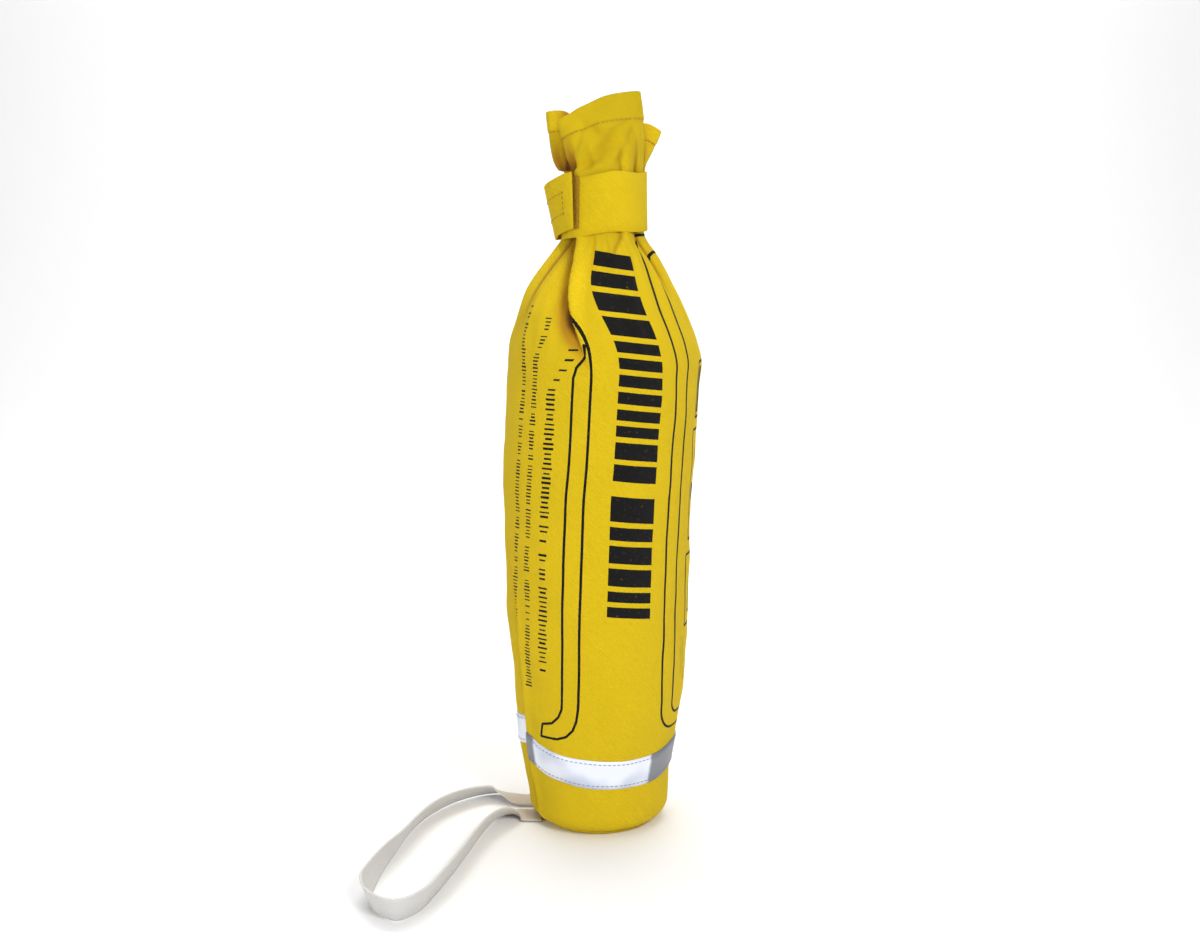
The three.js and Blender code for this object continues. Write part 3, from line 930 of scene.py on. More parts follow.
@dataclass
class Fold:
    """A crease in the cloth, whose right-hand side laps over it."""

    path: Track  # the angle by height
    depth: Track  # millimetres by height
    left_width: float
    right_width: float
    lap: float  # how far the right side laps over, as a share of the depth
    lip: float  # how far the lapping edge stands out, as a share of the depth
    start: float = 0.0  # the height from which it is there

    def across(self, angle: Array, height: Array, radius: Array) -> Array:
        """Returns how many millimetres right of the fold's line each point lies."""
        turn = (angle - self.path(height) + 180) % 360 - 180
        return np.radians(turn) * radius

    def shape(self, off: Array, depth: Array) -> tuple[Array, Array, Array]:
        """Returns how the fold moves and darkens points.

        Args:
            off: how far right of its line they are.
            depth: how deep the fold is at their heights.

        Returns:
            How far in they go, how far to the left they lap, and how deep in the fold's shade they are.
        """
        lip_width = 2.6 * self.right_width
        valley = np.where(off < 0, bell(off, self.left_width), bell(off, self.right_width))
        inward = depth * (valley - self.lip * bell(off - 3.2 * self.right_width, lip_width))
        lapped = depth * self.lap * bell(off - 2 * self.right_width, lip_width)
        near = np.where(off < 0, bell(off, 0.3 + 0.72 * self.left_width), bell(off, SHADE_WIDTH))
        return inward, lapped, (depth / FULL_SHADE_DEPTH).clip(0, 1) * near


class CadCloth:
    """The CAD cloth's outer wall, as a radius and a sideways shift by height."""

    step = 4.0  # millimetres from one measured height to the next
    softness = 4.5  # millimetres over which facets are rounded
    outside = 0.3  # how far from the axis each ray towards the wall starts, in metres

    def __init__(self, node: str, low: float, high: float) -> None:
        """Measures a node's outer wall between two heights."""
        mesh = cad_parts[node].data
        points = [vertex.co for vertex in mesh.vertices]
        tree = BVHTree.FromPolygons(points, [polygon.vertices for polygon in mesh.polygons])
        self.heights = np.arange(low, high + self.step / 2, self.step)
        reach = []
        for height in self.heights:
            ends = []
            for side in (-1, 1):
                start = Vector((side * self.outside, 0, height * MM))
                hit = tree.ray_cast(start, Vector((-side, 0, 0)))[0]
                ends.append(hit.x / MM)
            reach.append(ends)
        left, right = np.array(reach).T
        self.radii = self._soften((right - left) / 2)
        self.shifts = self._soften((right + left) / 2)

    def _soften(self, values: Array) -> Array:
        """Rounds the corners between the wall's flat facets."""
        distance = self.heights[:, None] - self.heights[None, :]
        weight = bell(distance, self.softness)
        line = np.polyfit(self.heights, values, 1)
        flat = np.polyval(line, self.heights)
        return flat + weight @ (values - flat) / weight.sum(axis=1)

    def radius(self, height: Any) -> Array:
        """Returns the outer radius at a height."""
        return np.interp(height, self.heights, self.radii)

    def shift(self, height: Any) -> Array:
        """Returns how far the middle is to the right at a height."""
        return np.interp(height, self.heights, self.shifts)


@dataclass(frozen=True)
class Hollow:
    """A long hollow in the mouth's front flap, or a ridge where its depth is negative."""

    start: tuple[float, float]  # across and up, as seen from the front
    end: tuple[float, float]
    depth: float
    width: float

    def distance(self, place: Array) -> Array:
        """Returns how far each place is from the hollow's line."""
        run = np.array(self.end, float) - np.array(self.start, float)
        off = place - np.array(self.start, float)
        along = np.clip(off @ run / (run @ run), 0, 1)
        return np.linalg.norm(off - along[..., None] * run, axis=-1)


FLAP_HOLLOWS = (
    Hollow((7, 451), (-15, 430), 6.2, 4.2),
    Hollow((-1, 458), (16, 447), -2.2, 3.6),
    Hollow((13.5, 441), (14.5, 430), 3.2, 1.4),
    Hollow((-20, 466), (-4, 455), 1.8, 4.4),
    Hollow((-24, 446), (-19, 431), 3.0, 2.2),
    Hollow((20, 456), (10, 436), 1.6, 2.6),
    Hollow((-7, 445), (-4, 430), -1.8, 2.6),
    Hollow((17, 462), (2, 452), 1.4, 1.8),
    Hollow((-12, 458), (-17, 444), 1.3, 2.0),
)


MOUTH_EDGE = (  # degrees round, then how far right, back and up
    (-60, -27.5, -17, 461.5), (-40, -19.5, -22, 467), (-15, -6.5, -25, 473),
    (10, 2.5, -25.5, 476.8), (42, 13.5, -23.5, 479), (72, 22.4, -20.2, 479.8),
    (80, 23.4, -16.5, 477), (87, 18, -11, 469), (93, 22.5, -7.5, 462), (99, 30, -3, 461),
    (106, 37.8, 2.5, 456.5), (117, 29, 8, 458), (135, 18, 15, 462), (155, 9, 21, 466),
    (180, 0, 25, 469), (205, -11, 23, 467), (225, -21, 18, 465), (243, -29.5, 11, 466),
    (258, -34.8, 4, 467.5), (268, -33, -2.5, 469), (277, -24, -6.5, 469), (284, -19, -10, 465.5),
    (292, -22, -12.5, 462),
)


@dataclass
class CanvasBag:
    """The printed canvas tube, gathered at its neck and open in pleats at its mouth."""

    foot_round: float = 11.0
    underside_height: float = 2.3
    shoulder: float = 312.0
    neck: float = 388.0
    strap_top: float = 431.0
    throat_height: float = 400.0  # where the middle of the throat is measured
    measured_to: float = 408.0  # the height up to which the CAD cloth is measured
    hem_share: float = 0.66  # how far up the mouth its hem is sewn
    thickness: float = 1.0
    lump: float = 1.0  # how far the soft lumps go in
    drag: float = 0.8  # how far the long drag lines go in
    pull: float = 2.4  # how far the short pulls near the neck go in
    pinch: float = 0.5  # how far the strap's small gathers go in
    left_hollow: float = 2.4  # how far in the left shoulder sags
    hollow_height: float = 340.0
    hollow_turn: float = 38.0  # how many degrees round that reaches to both sides
    hollow_rise: float = 17.0  # and how many millimetres up and down
    columns: int = 204
    throat_columns: int = 97
    side_rows: int = 124
    neck_rows: int = 66
    mouth_rows: int = 35
    first_angle: float = -130.0
    flap_starts: tuple[float, float] = (-62.0, -45.0)  # the angles in which the front flap sets in
    flap_ends: tuple[float, float] = (68.0, 78.0)
    leans_below: float = 250.0  # the height under which the cloth leans
    lean: float = 5.8 / 170  # how far it leans with each millimetre below that
    gathered_middle: float = 18.6  # how far across the cloth the neck's front is
    gathered_spread: float = 0.775  # millimetres of cloth to a degree at the neck
    first_gathered: float = 318.0  # the cloth is flat on the bag below this height
    all_gathered: float = 372.0

    def __post_init__(self) -> None:
        """Sets out the folds and the mouth."""
        self.cad = CadCloth("side_panel", self.underside_height + self.foot_round + 0.5, self.measured_to)
        self.folds = [
            Fold(  # the main one, left of the front
                Track((290, -5), (312, -8.5), (322, -12), (332, -15.5), (343, -19), (355, -22),
                      (363, -24), (374, -29), (392, -38), (431, -46)),
                Track((300, 0), (314, 0.8), (324, 2.2), (334, 4.2), (345, 7), (355, 10.5), (364, 12.5),
                      (376, 11), (392, 8.5), (431, 4)),
                left_width=14.5, right_width=1.1, lap=0.42, lip=0.2, start=300,
            ),
            Fold(  # a short one under the strap
                Track((360, 4), (376, 8), (383, 12), (389, 22), (395, 26), (431, 27)),
                Track((366, 0), (378, 0.4), (385, 1.3), (431, 1.5)),
                left_width=4.0, right_width=0.9, lap=0.8, lip=0.5, start=366,
            ),
            Fold(  # the side seam
                Track((2, -60), (80, -60), (160, -61), (183, -67), (215, -80), (300, -86), (431, -88)),
                Track((2, 1.2), (30, 3.2), (80, 3.4), (130, 3.0), (170, 2.4), (220, 1.5), (330, 1.4),
                      (370, 3.5), (431, 4.0)),
                left_width=6.0, right_width=1.0, lap=0.7, lip=0.35,
            ),
        ]
        self.folds += [self._gather(*gather) for gather in (
            (-66, 318, 3.4), (58, 336, 2.6), (92, 312, 3.6), (118, 296, 4.6), (146, 322, 5.4),
            (171, 300, 4.4), (198, 318, 5.8), (226, 304, 4.8), (251, 326, 4.2),
        )]
        self.mouth = {
            axis: Track(*((station[0], station[k + 1]) for station in MOUTH_EDGE), round_the_bag=True)
            for k, axis in enumerate("xyz")
        }
        self.flare = Track((-60, 1.1), (0, 1.3), (60, 1.2), (80, 1.0), (103, 1.0), (150, 1.2), (210, 0.8),
                           (240, 0.35), (262, 0.25), (274, 0.4), (284, 0.9), round_the_bag=True)

    def _gather(self, angle: float, start: float, depth: float) -> Fold:
        """Returns one of the folds that the shoulder is gathered into, which runs up into the neck."""
        lean = 9 * math.sin(angle)  # a different lean for each, since the angle is in degrees
        halfway = (start + self.neck) / 2
        path = Track((start, angle + lean), (halfway, angle + lean * 0.6), (self.neck, angle),
                     (self.strap_top, angle))
        deep = Track((start, 0), (start + 14, depth * 0.12), (halfway, depth * 0.55),
                     (self.neck - 8, depth), (self.strap_top, depth))
        return Fold(path, deep, left_width=4.6, right_width=2.0, lap=0.55, lip=0.16, start=start)

    def across_cloth(self, angle: Any, height: Any) -> Array:
        """Returns how far across the laid-out cloth a point is from the front's middle."""
        angle, height = np.broadcast_arrays(angle, height)
        lean = (self.leans_below - height).clip(0) * self.lean
        flat = np.radians(angle) * self.cad.radius(np.minimum(height, self.shoulder)) + lean
        gathered = self.gathered_middle + self.gathered_spread * angle
        share = smooth(self.first_gathered, self.all_gathered, height)
        return flat * (1 - share) + gathered * share

    def _side(self, angle: Array, height: Array) -> tuple[Array, Array]:
        """Returns points of the outer surface below the mouth, and how much painted shade each gets from the
        folds.
        """
        radius, shift = self.cad.radius(height), self.cad.shift(height)
        low = np.clip((self.underside_height + self.foot_round - height) / self.foot_round, 0, 1)
        radius = radius - self.foot_round * (1 - np.sqrt(np.clip(1 - low**2, 0, 1)))
        inward, sideways, fold_shade = (np.zeros(angle.shape) for _ in range(3))
        for fold in self.folds:
            depth = fold.depth(height) * (height >= fold.start)
            deeper, lapped, shade = fold.shape(fold.across(angle, height, radius), depth)
            inward += deeper
            sideways -= lapped
            fold_shade = np.maximum(fold_shade, shade)
        inward += self._ripples(angle, height)
        from_left = (angle + 90 + 180) % 360 - 180
        sag = bell(from_left, self.hollow_turn) * bell(height - self.hollow_height, self.hollow_rise)
        inward += self.left_hollow * sag
        turn = np.degrees(sideways / np.maximum(radius, 1))
        return polar(angle + turn, radius - inward, height, shift), fold_shade

    def _ripples(self, angle: Array, height: Array) -> Array:
        """Returns how far in the cloth's soft lumps and drag lines go."""
        spot = polar(angle, 1.0, height)
        flat = spot.reshape(-1, 3)
        lumps = [
            noise((x * 1.7, y * 1.7, z / 42)) + 0.45 * noise((x * 4 + 7, y * 4, z / 15)) for x, y, z in flat
        ]
        drags = [noise((x * 3 + z / 33 + 3, y * 3, z / 60)) for x, y, z in flat]
        pulls = [noise((x * 6.5 + 5, y * 6.5, z / 70 + x * 0.8)) for x, y, z in flat]
        calm = smooth(8, 30, height) * (1 - 0.75 * smooth(385, 396, height))
        near_neck = (smooth(300, 345, height) * (1 - 0.6 * smooth(380, 396, height))).ravel()
        ripple = self.lump * np.array(lumps) + self.drag * np.array(drags)
        ripple = ripple + self.pull * near_neck * np.array(pulls)
        pinched = self.pinch * np.sin(np.radians(angle) * 41) * bell(height - 382, 9)
        return ripple.reshape(angle.shape) * calm + pinched

    def _mouth(self, angle: Array, share: Array) -> tuple[Array, Array]:
        """Returns points of the outer surface from the strap's top edge (0) to the mouth's edge (1)."""
        top = self.strap_top
        start, fold_shade = self._side(angle, np.full(angle.shape, top))
        plain = polar(angle, self.cad.radius(top) - 0.8, top, self.cad.shift(top))
        start = start + (plain - start) * smooth(0, 0.3, share)[..., None]
        end = np.stack([self.mouth[axis](angle) for axis in "xyz"], axis=-1)
        eased = share[..., None] ** self.flare(angle)[..., None]
        point = start + (end - start) * eased
        point[..., 2] = top + (end[..., 2] - top) * share
        front = smooth(*self.flap_starts, angle) * (1 - smooth(*self.flap_ends, angle))
        point[..., 1] -= front * 2.0 * np.sin(np.pi * share)
        point[..., 0] += 2.2 * bell(angle - 84, 22) * np.sin(np.pi * share)
        hem = (share - self.hem_share) * (end[..., 2] - top)
        outward = 0.45 * smooth(-0.4, 0.6, hem) - 0.55 * bell(hem, 0.9)
        for hollow in FLAP_HOLLOWS:
            sunk = hollow.depth * bell(hollow.distance(point[..., [0, 2]]), hollow.width)
            outward = outward - front * sunk * smooth(0, 0.12, share)
        turn = np.radians(angle)
        point[..., 0] += outward * np.sin(turn)
        point[..., 1] -= outward * np.cos(turn)
        # painted shade: a dark line where a lobe goes behind the flap, a line along the hem, and the folds'
        # painted shade fading up the mouth
        lobe_shade = bell((angle % 360) - 283, 8) + bell(angle - 88, 8)  # where a lobe goes behind the flap
        fold_shade = np.maximum(fold_shade * (1 - share) ** 2, 0.95 * lobe_shade * (1 - 0.45 * share))
        return point, np.maximum(fold_shade, 0.35 * bell(hem, 0.7))

    def points(self, angle: Any, height: Any, share: Any = 0.0) -> Array:
        """Returns points of the outer surface.

        Args:
            angle: degrees round.
            height: how high up the side.
            share: above the strap, how far up the mouth from 0 to 1.

        Returns:
            The points.
        """
        angle, height, share = (np.asarray(a, float) for a in np.broadcast_arrays(angle, height, share))
        side, _ = self._side(angle, height)
        mouth, _ = self._mouth(angle, share)
        return np.where((share > 0)[..., None], mouth, side)

    def _column_angles(self) -> Array:
        """Returns the angles of the cloth's columns, which are closer where the folds are."""
        spread = np.linspace(0, 360, 1441) + self.first_angle
        density = 1 + bell(spread + 32, 40) + 0.7 * bell(spread - 50, 50)
        total = np.concatenate([[0], np.cumsum(density)[:-1]])
        return np.interp(np.linspace(0, total[-1], self.columns + 1), total, spread)

    def build(self) -> None:
        """Makes the canvas, its hem and the gathers inside its neck."""
        angles = self._column_angles()
        arc = np.radians(np.linspace(-90, 0, 8))[:-1]
        foot = self.underside_height + self.foot_round * (1 + np.sin(arc))
        finer_from = self.shoulder + 8
        side = np.linspace(self.underside_height + self.foot_round, finer_from, self.side_rows)
        neck = np.linspace(finer_from, self.strap_top, self.neck_rows)[1:]
        heights = np.concatenate([foot, side, neck])
        shares = np.linspace(0, 1, self.mouth_rows)[1:] ** 0.92
        low_angle, low_height = np.meshgrid(angles[:-1], heights, indexing="ij")
        high_angle, high_share = np.meshgrid(angles[:-1], shares, indexing="ij")
        lower, low_fold_shade = self._side(low_angle, low_height)
        upper, high_fold_shade = self._mouth(high_angle, high_share)
        grid = np.concatenate([lower, upper], axis=1)
        rise = self.mouth["z"](angles)[:, None] - self.strap_top
        along = np.concatenate([np.tile(heights, (len(angles), 1)), self.strap_top + shares * rise], axis=1)
        cloth = np.stack([self.across_cloth(angles[:, None], along), along], axis=-1)
        canvas = woven_grid("canvas", grid, cloth, CANVAS, (True, False))
        # the folds' painted shade, which the canvas finish reads
        fold_shade = canvas.data.attributes.new(FOLD_SHADE, "FLOAT", "POINT")
        fold_shade.data.foreach_set("value", np.concatenate([low_fold_shade, high_fold_shade], axis=1).ravel())
        wall = canvas.modifiers.new("wall", "SOLIDIFY")
        wall.thickness, wall.offset = self.thickness * MM, -1
        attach(canvas, Body.BAG.value)
        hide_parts("side_panel", "gathered_mouth")
        log.info("canvas: %d columns by %d rows", *grid.shape[:2])
        self._throat()
        self._sew_hem()

    def _throat(self) -> None:
        """Makes the bunched cloth that closes the neck, seen down the mouth."""
        angles = np.linspace(0, 360, self.throat_columns)
        shares = np.linspace(1, 0.02, 14)
        angle, share = np.meshgrid(angles[:-1], shares, indexing="ij")
        ring = self.points(angle, self.strap_top - 1.0)
        middle = np.array((self.cad.shift(self.throat_height), 0, 0))
        point = middle + (ring - middle) * (share[..., None] * 0.965)
        pleat = np.sin(np.radians(angle) * 9 + 2.2 * share) * 3.6 + np.sin(np.radians(angle) * 17) * 1.2
        point[..., 2] = self.strap_top + 1 + pleat * np.sin(np.pi * share) + 9 * (1 - share) ** 1.5
        along = np.tile((1 - shares) * 25, (self.throat_columns, 1))
        cloth = np.stack([angles[:, None] * 0.45 + 0 * along, 500 + along], axis=-1)
        throat = woven_grid("neck_gathers", point, cloth, PLAIN_CANVAS, (True, False))
        wall = throat.modifiers.new("wall", "SOLIDIFY")
        wall.thickness, wall.offset = 0.8 * MM, -1
        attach(throat, Body.BAG.value)
        log.info("neck gathers made")

    def _sew_hem(self) -> None:
        """Sews the mouth's hem."""
        angle = np.linspace(-60, 300, 420)
        path = self.points(angle, self.strap_top, self.hem_share)
        run = np.gradient(path, axis=0)
        out = np.stack([run[:, 1], -run[:, 0], 0 * run[:, 0]], axis=1)
        out /= np.linalg.norm(out, axis=1)[:, None]
        STITCHES.sew("mouth_hem_stitches", [path + out * 0.15], THREAD, Body.BAG,
                     "mouth_hem_stitching")


@dataclass
class ReflectiveTape:
    """The tape sewn round the foot, from one side of the side seam to the other."""

    bag: CanvasBag
    width: float = 20.0
    thickness: float = 0.5
    inset: float = 2.4  # from the tape's edge to its stitches
    laid: float = 0.05  # from the cloth to the tape's underside
    raised: float = 0.25  # from the cloth to where its thickness starts
    proud: float = 0.35  # how far past its thickness the thread's middle is
    start_angle: float = -59.3
    end_angle: float = 298.0
    steps: int = 150
    lanes: int = 9

    def build(self) -> None:
        """Makes the tape and its two rows of stitches."""
        angle = np.linspace(self.start_angle, self.end_angle, self.steps)
        middle = Track((-61, 59), (-54, 56.5), (-48, 53.5), (-38, 50.8), (-20, 48), (-8, 46.8), (6, 45.6),
                       (24, 45), (45, 45.4), (66, 47.5), (80, 49), (140, 54), (200, 57), (260, 62),
                       (299, 68))(angle)
        across = np.linspace(-1, 1, self.lanes) * self.width / 2
        flat = np.stack([self.bag.points(angle, middle + offset) for offset in across], axis=1)
        grid_middle = (flat[:, 0] + flat[:, -1]) / 2
        along = np.concatenate([[0], np.cumsum(np.linalg.norm(np.diff(grid_middle, axis=0), axis=1))])
        along += self.bag.across_cloth(angle[0], middle[0])
        out = polar(angle, 1.0, 0.0)
        thick = np.ones(self.lanes)
        thick[[0, -1]] = EDGE_SHARE
        top = flat + out[:, None] * (self.raised + self.thickness * thick)[:, None]
        under = flat[:, ::-1] + out[:, None] * self.laid
        grid = np.concatenate([top, under], axis=1)
        across = np.concatenate([across, across[::-1], across[:1]])
        cloth = np.stack([along[:, None] + 0 * across, across + 0 * along[:, None]], axis=-1)
        tape = woven_grid("reflective_band", grid, cloth, TAPE, (False, True))
        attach(tape, Body.BAG.value)
        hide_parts("reflective_tape")
        log.info("tape made")
        reach = self.width / 2 - self.inset
        for name, side in (("upper", 1), ("lower", -1)):
            path = self.bag.points(angle, middle + side * reach) + out * (self.proud + self.thickness)
            STITCHES.sew(f"tape_stitches_{name}", [path], PALE_THREAD, Body.BAG,
                         f"tape_stitching_{name}")


@dataclass
class NeckStrap:
    """The canvas strap round the neck, and its tab that peels open."""

    bag: CanvasBag
    inner_radius: float = 25.85
    thickness: float = 1.5
    width: float = 37.0
    shift: float = 1.6  # how far the neck's middle is to the right
    first_angle: float = -84.0
    last_angle: float = 250.0
    anchor_angles: tuple[float, float] = (172.0, 188.0)
    anchor_heights: tuple[float, float] = (396.0, 427.0)
    tab_radius: float = 30.6
    tab_angles: tuple[float, float] = (-110.0, -38.0)
    bend_angles: tuple[float, float] = (-109.5, -101.0)  # the angles of the tab's hinge ends, which _hinged works out but nothing uses
    tab_width: float = 35.0
    hook_angles: tuple[float, float] = (-82.0, -44.0)
    hook_share: float = 0.78  # of the tab's width
    hook_thickness: float = 0.9
    box_angles: tuple[float, float] = (-100.0, -51.0)
    box_half: float = 6.4
    proud: float = 0.2  # how far thread stands off the cloth

    def build(self) -> None:
        """Makes the strap, the tab and what is sewn on them."""
        self._strap()
        self._tab()

    def _strap(self) -> None:
        """Makes the strap round the neck, a little wavy at its edges."""
        first, last = self.first_angle, self.last_angle
        angle = np.linspace(first, last, 150)
        middle = Track((-84, 407), (-40, 408.8), (0, 412), (90, 412.6), (180, 411), (250, 406))(angle)
        sag = 0.5 * np.sin(np.radians(angle) * 5) * smooth(first, first + 24, angle)
        radius = self.inner_radius + self.thickness / 2 + 0.25 + 0 * angle
        radius += 2.2 * smooth(last - 14, last, angle)
        face = polar(angle, 1.0, 0.0)
        top_lean = np.array((0, 0, 1.0)) * (self.width / 2 + 0.4 * sag)[:, None]
        top_lean = top_lean + face * (0.5 * np.sin(np.radians(angle) * 3 + 1))[:, None]
        centre = polar(angle, radius, middle + sag, self.shift)
        strap = strip_solid("neck_band", centre, top_lean, face, np.radians(angle) * 26, PLAIN_CANVAS,
                            self.thickness)
        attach(strap, Body.BAG.value)
        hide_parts("neck_strap")
        log.info("neck strap made")
        outside = self.inner_radius + self.thickness + 0.45
        climb, sweep = np.linspace(*self.anchor_heights, 24), np.linspace(*self.anchor_angles, 12)
        rows = [polar(edge, outside, climb, self.shift) for edge in self.anchor_angles]
        rows += [polar(sweep, outside, edge, self.shift) for edge in self.anchor_heights]
        STITCHES.sew("strap_anchor_stitches", rows, THREAD, Body.BAG, "strap_anchor_stitching")

    def _tab_points(self, angle: Any, level: Any) -> Array:
        """Returns points in the middle of the tab's cloth.

        Args:
            angle: degrees round.
            level: from -1 at the lower edge to 1 at the upper.

        Returns:
            The points.
        """
        angle, level = (np.asarray(a, float) for a in np.broadcast_arrays(angle, level))
        middle = Track((-110, 405.5), (-90, 405.2), (-70, 408.5), (-51, 411.8), (-38, 413.4))(angle)
        stand = smooth(-108, -92, angle) * bell(angle + 84, 36) * (level + 1) * 3.6
        lifted = 1.1 * smooth(-60, -38, angle)
        radius = self.tab_radius - 1.6 * (1 - smooth(-110, -98, angle)) + stand + lifted
        half = self.tab_width / 2 - 0.9 * (1 - smooth(-75, -45, angle))
        return polar(angle, radius, middle + level * half, self.shift)

    def _tab(self) -> None:
        """Makes the tab, which stands off the neck and ends at the front left."""
        angle = np.linspace(*self.tab_angles, 60)
        low, high = self._tab_points(angle, -1.0), self._tab_points(angle, 1.0)
        face = polar(angle, 1.0, 0.0)
        tab = strip_solid("closing_tab", (low + high) / 2, (high - low) / 2, face, np.radians(angle) * 30,
                          PLAIN_CANVAS, self.thickness)
        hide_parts("strap_tab")
        self._hinged(tab)
        part = angle[(angle > self.hook_angles[0]) & (angle < self.hook_angles[1])]
        low, high = self._tab_points(part, -self.hook_share), self._tab_points(part, self.hook_share)
        inward = polar(part, -1.25, 0.0)
        hooks = strip_solid("hook_field", (low + high) / 2 + inward, (high - low) / 2, polar(part, 1.0, 0.0),
                            np.radians(part) * 30, HOOKS, self.hook_thickness)
        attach(hooks, Body.TAB.value)
        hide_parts("hook_patch")
        sweep = np.linspace(*self.box_angles, 40)
        out = self.thickness / 2 + self.proud
        level = self.box_half / (self.tab_width / 2)
        rows = [self._tab_points(sweep, side * level) + polar(sweep, out, 0.0) for side in (-1, 1)]
        end = self.box_angles[1]
        rows.append(self._tab_points(end, np.linspace(-level, level, 12)) + polar(end, out, 0.0))
        stitches = STITCHES.sew("tab_box_stitches", rows, THREAD, None, "tab_stitching")
        self._hinged(stitches)

    def _hinged(self, piece: bpy.types.Object) -> None:
        """Bakes a piece's placement into its mesh, and works out the tab's hinge ends, which nothing uses.
        """
        ends = [Vector(polar(a, self.tab_radius, 410.0, self.shift)) * MM for a in self.bend_angles]
        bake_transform(piece)
        log.info("%s hinged", piece.name)


@dataclass
class HandLoop:
    """The webbing hand loop, which lies on the floor on its edge and twists as it goes."""

    width: float = 18.0
    thickness: float = 1.4
    floor_gap: float = 0.35
    inner_end: float = -40.1
    steps: int = 150
    steps_inside: int = 5
    route: tuple[tuple[float, float, float], ...] = (  # right, back, and the lean from upright
        (-50.4, 17, -90), (-57, 17, -87), (-65, 20, -74), (-76, 23, -56), (-88, 18, -48), (-100, 8, -42),
        (-111, -7, -36), (-119, -24, -32), (-125, -45, -28), (-130, -70, -20), (-136, -94, -6),
        (-140, -118, 8), (-141, -136, 18), (-134, -153, 22), (-119, -163, 22), (-106, -151, 20),
        (-98, -128, 19), (-90, -98, 19), (-83, -68, 20), (-77, -44, 26), (-70, -26, 40), (-63, -14, 66),
        (-57, -9.5, 84), (-50.4, -9.5, 90),
    )

    def build(self) -> None:
        samples = curve_through(self.route, self.steps)
        place, lean = samples[:, :2], np.radians(samples[:, 2])
        along = np.gradient(place, axis=0)
        along /= np.linalg.norm(along, axis=1)[:, None]
        along = np.column_stack([along, 0 * lean])
        out = np.column_stack([along[:, 1], -along[:, 0], 0 * lean])
        up = np.array((0, 0, 1.0))
        across = np.cos(lean)[:, None] * up + np.sin(lean)[:, None] * out
        face = np.cross(along, across)
        lift = (self.width * abs(across[:, 2]) + self.thickness * abs(face[:, 2])) / 2 + self.floor_gap
        middle = np.column_stack([place, lift])
        reach = abs(self.inner_end - self.route[0][0])
        count = self.steps_inside
        inside = np.linspace(reach, 0, count + 1)[:-1, None] * np.array((1.0, 0, 0))
        middle = np.vstack([middle[0] + inside, middle, (middle[-1] + inside)[::-1]])
        across, face = (np.vstack([[v[0]] * count, v, [v[-1]] * count]) for v in (across, face))
        length = np.concatenate([[0], np.cumsum(np.linalg.norm(np.diff(middle, axis=0), axis=1))])
        from_bag = np.minimum(length, length[-1] - length)
        webbing = strip_solid("hand_webbing", middle, across * (self.width / 2), face, from_bag, WEBBING,
                              self.thickness)
        hinge = self.route[0][0]
        start, end = ((hinge + step, 4.0, 1.05) for step in (3.0, -6.0))
        tuple(v * MM for v in start)
        tuple(v * MM for v in end)
        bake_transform(webbing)
        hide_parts("handle_loop", "handle_root_rear", "handle_root_front")
        log.info("hand loop: %.0f mm of webbing", length[-1])


@dataclass
class PackedLine:
    """The throwing line inside the bag, coiled in layers from the foot to the shoulder."""

    diameter: float = 8.0
    spacing: float = 1.02  # from turn to turn, as a share of the diameter
    clearance: float = 5.0
    hollow: float = 14.0  # the radius left free in the middle
    low: float = 18.0
    high: float = 300.0
    points_a_turn: int = 18
    sides: int = 6

    def build(self, bag: CanvasBag) -> None:
        """Makes the coiled line."""
        pitch = self.diameter * self.spacing
        heights = np.arange(self.low + self.diameter / 2, self.high - self.diameter / 2, pitch)
        path: list[Array] = []
        for layer, height in enumerate(heights):
            outer = float(bag.cad.radius(height)) - self.clearance - self.diameter / 2
            turns = int((outer - self.hollow) // pitch)
            share = np.linspace(0, 1, turns * self.points_a_turn, endpoint=False)
            share = share if layer % 2 == 0 else 1 - share
            radius = outer - share * turns * pitch
            angle = 360 * turns * np.linspace(0, 1, len(share), endpoint=False)
            path.append(polar(angle, radius, height, bag.cad.shift(height)))
        middle = np.vstack(path)
        along = np.gradient(middle, axis=0)
        along /= np.linalg.norm(along, axis=1)[:, None]
        side = np.cross(along, (0, 0, 1.0))
        side /= np.linalg.norm(side, axis=1)[:, None]
        up = np.cross(side, along)
        turn = np.linspace(0, TURN, self.sides, endpoint=False)
        ring = [side * math.cos(t) + up * math.sin(t) for t in turn]
        grid = np.stack([middle + r * (self.diameter / 2) for r in ring], axis=1)
        line = woven_grid("packed_line", grid, None, LINE, (False, True), capped=True)
        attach(line, Body.BAG.value)
        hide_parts("line_coil")
        run = np.linalg.norm(np.diff(middle, axis=0), axis=1).sum()
        log.info("packed line: %.1f m", run * MM)


def dress_kept_nodes() -> None:
    """Gives the CAD pieces that stay in the scene their finishes."""
    dressed = {
        LINE: ("line_anchor_knot", "line_fixed_end", "hand_loop_knot", "line_hand_loop", "line_throw_end"),
        FOAM: ("base_float",),
        LINING_CANVAS: ("base_panel", "side_seam_binding", "anchor_webbing"),
        SHADOWED_LOOPS: ("loop_patch",),
    }
    for finish, nodes in dressed.items():
        for name in nodes:
            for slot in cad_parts[name].material_slots:
                slot.link = "OBJECT"
                slot.material = finish.material()
        log.info("%s: %s", finish.name, ", ".join(nodes))


@dataclass(frozen=True)
class Lamp:
    """A soft square light, in metres and watts."""

    name: str
    place: tuple[float, float, float]
    aim: tuple[float, float, float]
    size: float
    power: float

    def build(self) -> None:
        """Makes the light."""
        data = bpy.data.lights.new(self.name, "AREA")
        data.shape, data.size, data.energy = "SQUARE", self.size, self.power
        made = bpy.data.objects.new(self.name, data)
        made.location = self.place
        made.rotation_euler = (Vector(self.aim) - Vector(self.place)).to_track_quat("-Z", "Y").to_euler()
        bpy.context.scene.collection.objects.link(made)


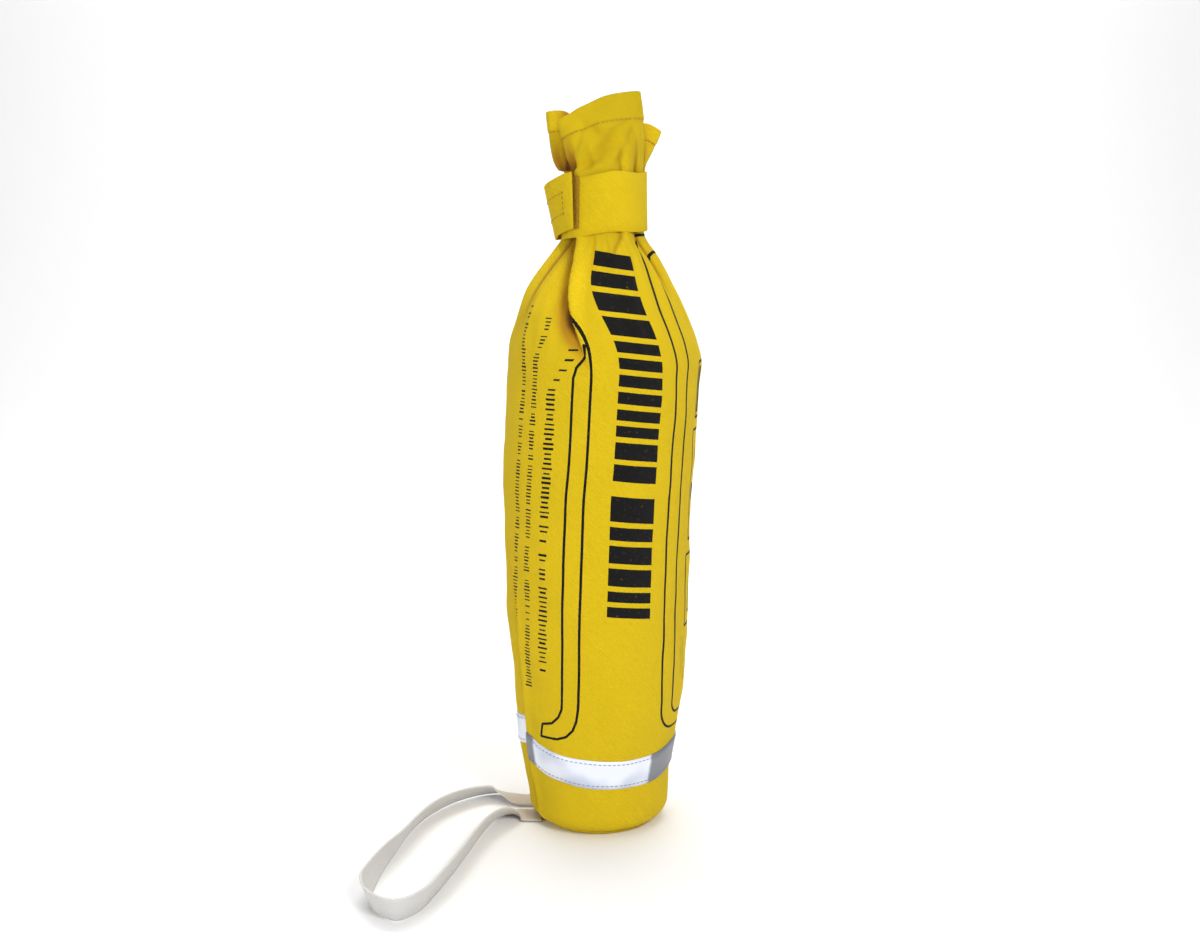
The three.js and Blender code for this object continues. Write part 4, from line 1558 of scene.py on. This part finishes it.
BAG_MIDDLE = (0.0, 0.0, 0.25)
LAMPS = (
    Lamp("key", (0.7, -1.25, 1.15), BAG_MIDDLE, 0.5, 15.5),
    Lamp("front", (-1.1, -1.4, 0.6), BAG_MIDDLE, 0.7, 8.5),
    Lamp("top", (0.0, 0.2, 2.0), BAG_MIDDLE, 1.6, 13),
    Lamp("back", (0.0, 0.9, 2.4), (0.0, 2.3, 0.9), 1.8, 42),
)


@dataclass
class Studio:
    """The camera, the lights and the pale sweep that the bag stands on, in metres."""

    camera_place: tuple[float, float, float] = (-0.001, -0.950, 0.4045)
    camera_drop: float = 10.1  # degrees that it looks down
    lens: float = 43.8
    sensor: float = 36.0
    sweep_half: float = 4.0
    sweep_front: float = -4.0
    sweep_back: float = 1.6  # where it starts to curve up
    sweep_bend: float = 0.8
    sweep_top: float = 4.0
    sweep_drop: float = 0.0004  # how far under the bag the floor is
    glow: float = 0.3

    def camera(self) -> None:
        """Sets up the camera."""
        data = bpy.data.cameras.new("camera")
        data.lens = self.lens
        data.sensor_width = self.sensor
        made = bpy.data.objects.new("camera", data)
        made.location = self.camera_place
        made.rotation_euler = (math.radians(90 - self.camera_drop), 0, 0)
        bpy.context.scene.collection.objects.link(made)
        bpy.context.scene.camera = made

    def _sweep(self) -> None:
        """Makes the pale floor, which curves up behind the bag."""
        bend = np.radians(np.linspace(0, 90, 17))
        profile = [(self.sweep_front, 0.0), (-1.0, 0.0), (0.6, 0.0)]
        curve = [(math.sin(b) * self.sweep_bend, (1 - math.cos(b)) * self.sweep_bend) for b in bend]
        profile += [(self.sweep_back + back, up) for back, up in curve]
        profile += [(self.sweep_back + self.sweep_bend, self.sweep_top)]
        sides = (-self.sweep_half, self.sweep_half)
        grid = np.array([[(x, y, z - self.sweep_drop) for y, z in profile] for x in sides]) / MM
        woven_grid("studio_sweep", grid, np.zeros((*grid.shape[:2], 2)), FLOOR)

    def build(self) -> None:
        """Makes the sweep, the lights and the pale surroundings."""
        self._sweep()
        for lamp in LAMPS:
            lamp.build()
        world = bpy.data.worlds.new("studio")
        bpy.context.scene.world = world
        world.use_nodes = True
        graph = Graph(world.node_tree)
        glow = graph.node("ShaderNodeBackground", None, {"Color": (1, 1, 1, 1), "Strength": self.glow})
        graph.node("ShaderNodeOutputWorld", None, {"Surface": glow.outputs[0]})
        bpy.context.scene.view_settings.view_transform = "Standard"


def main() -> None:
    """Builds the scene."""
    logging.basicConfig(level=logging.INFO, format="%(message)s")
    studio = Studio()
    studio.camera()
    HandLoop().build()
    bag = CanvasBag()
    bag.build()
    ReflectiveTape(bag).build()
    NeckStrap(bag).build()
    PackedLine().build(bag)
    dress_kept_nodes()
    studio.build()


if __name__ == "__main__":
    main()
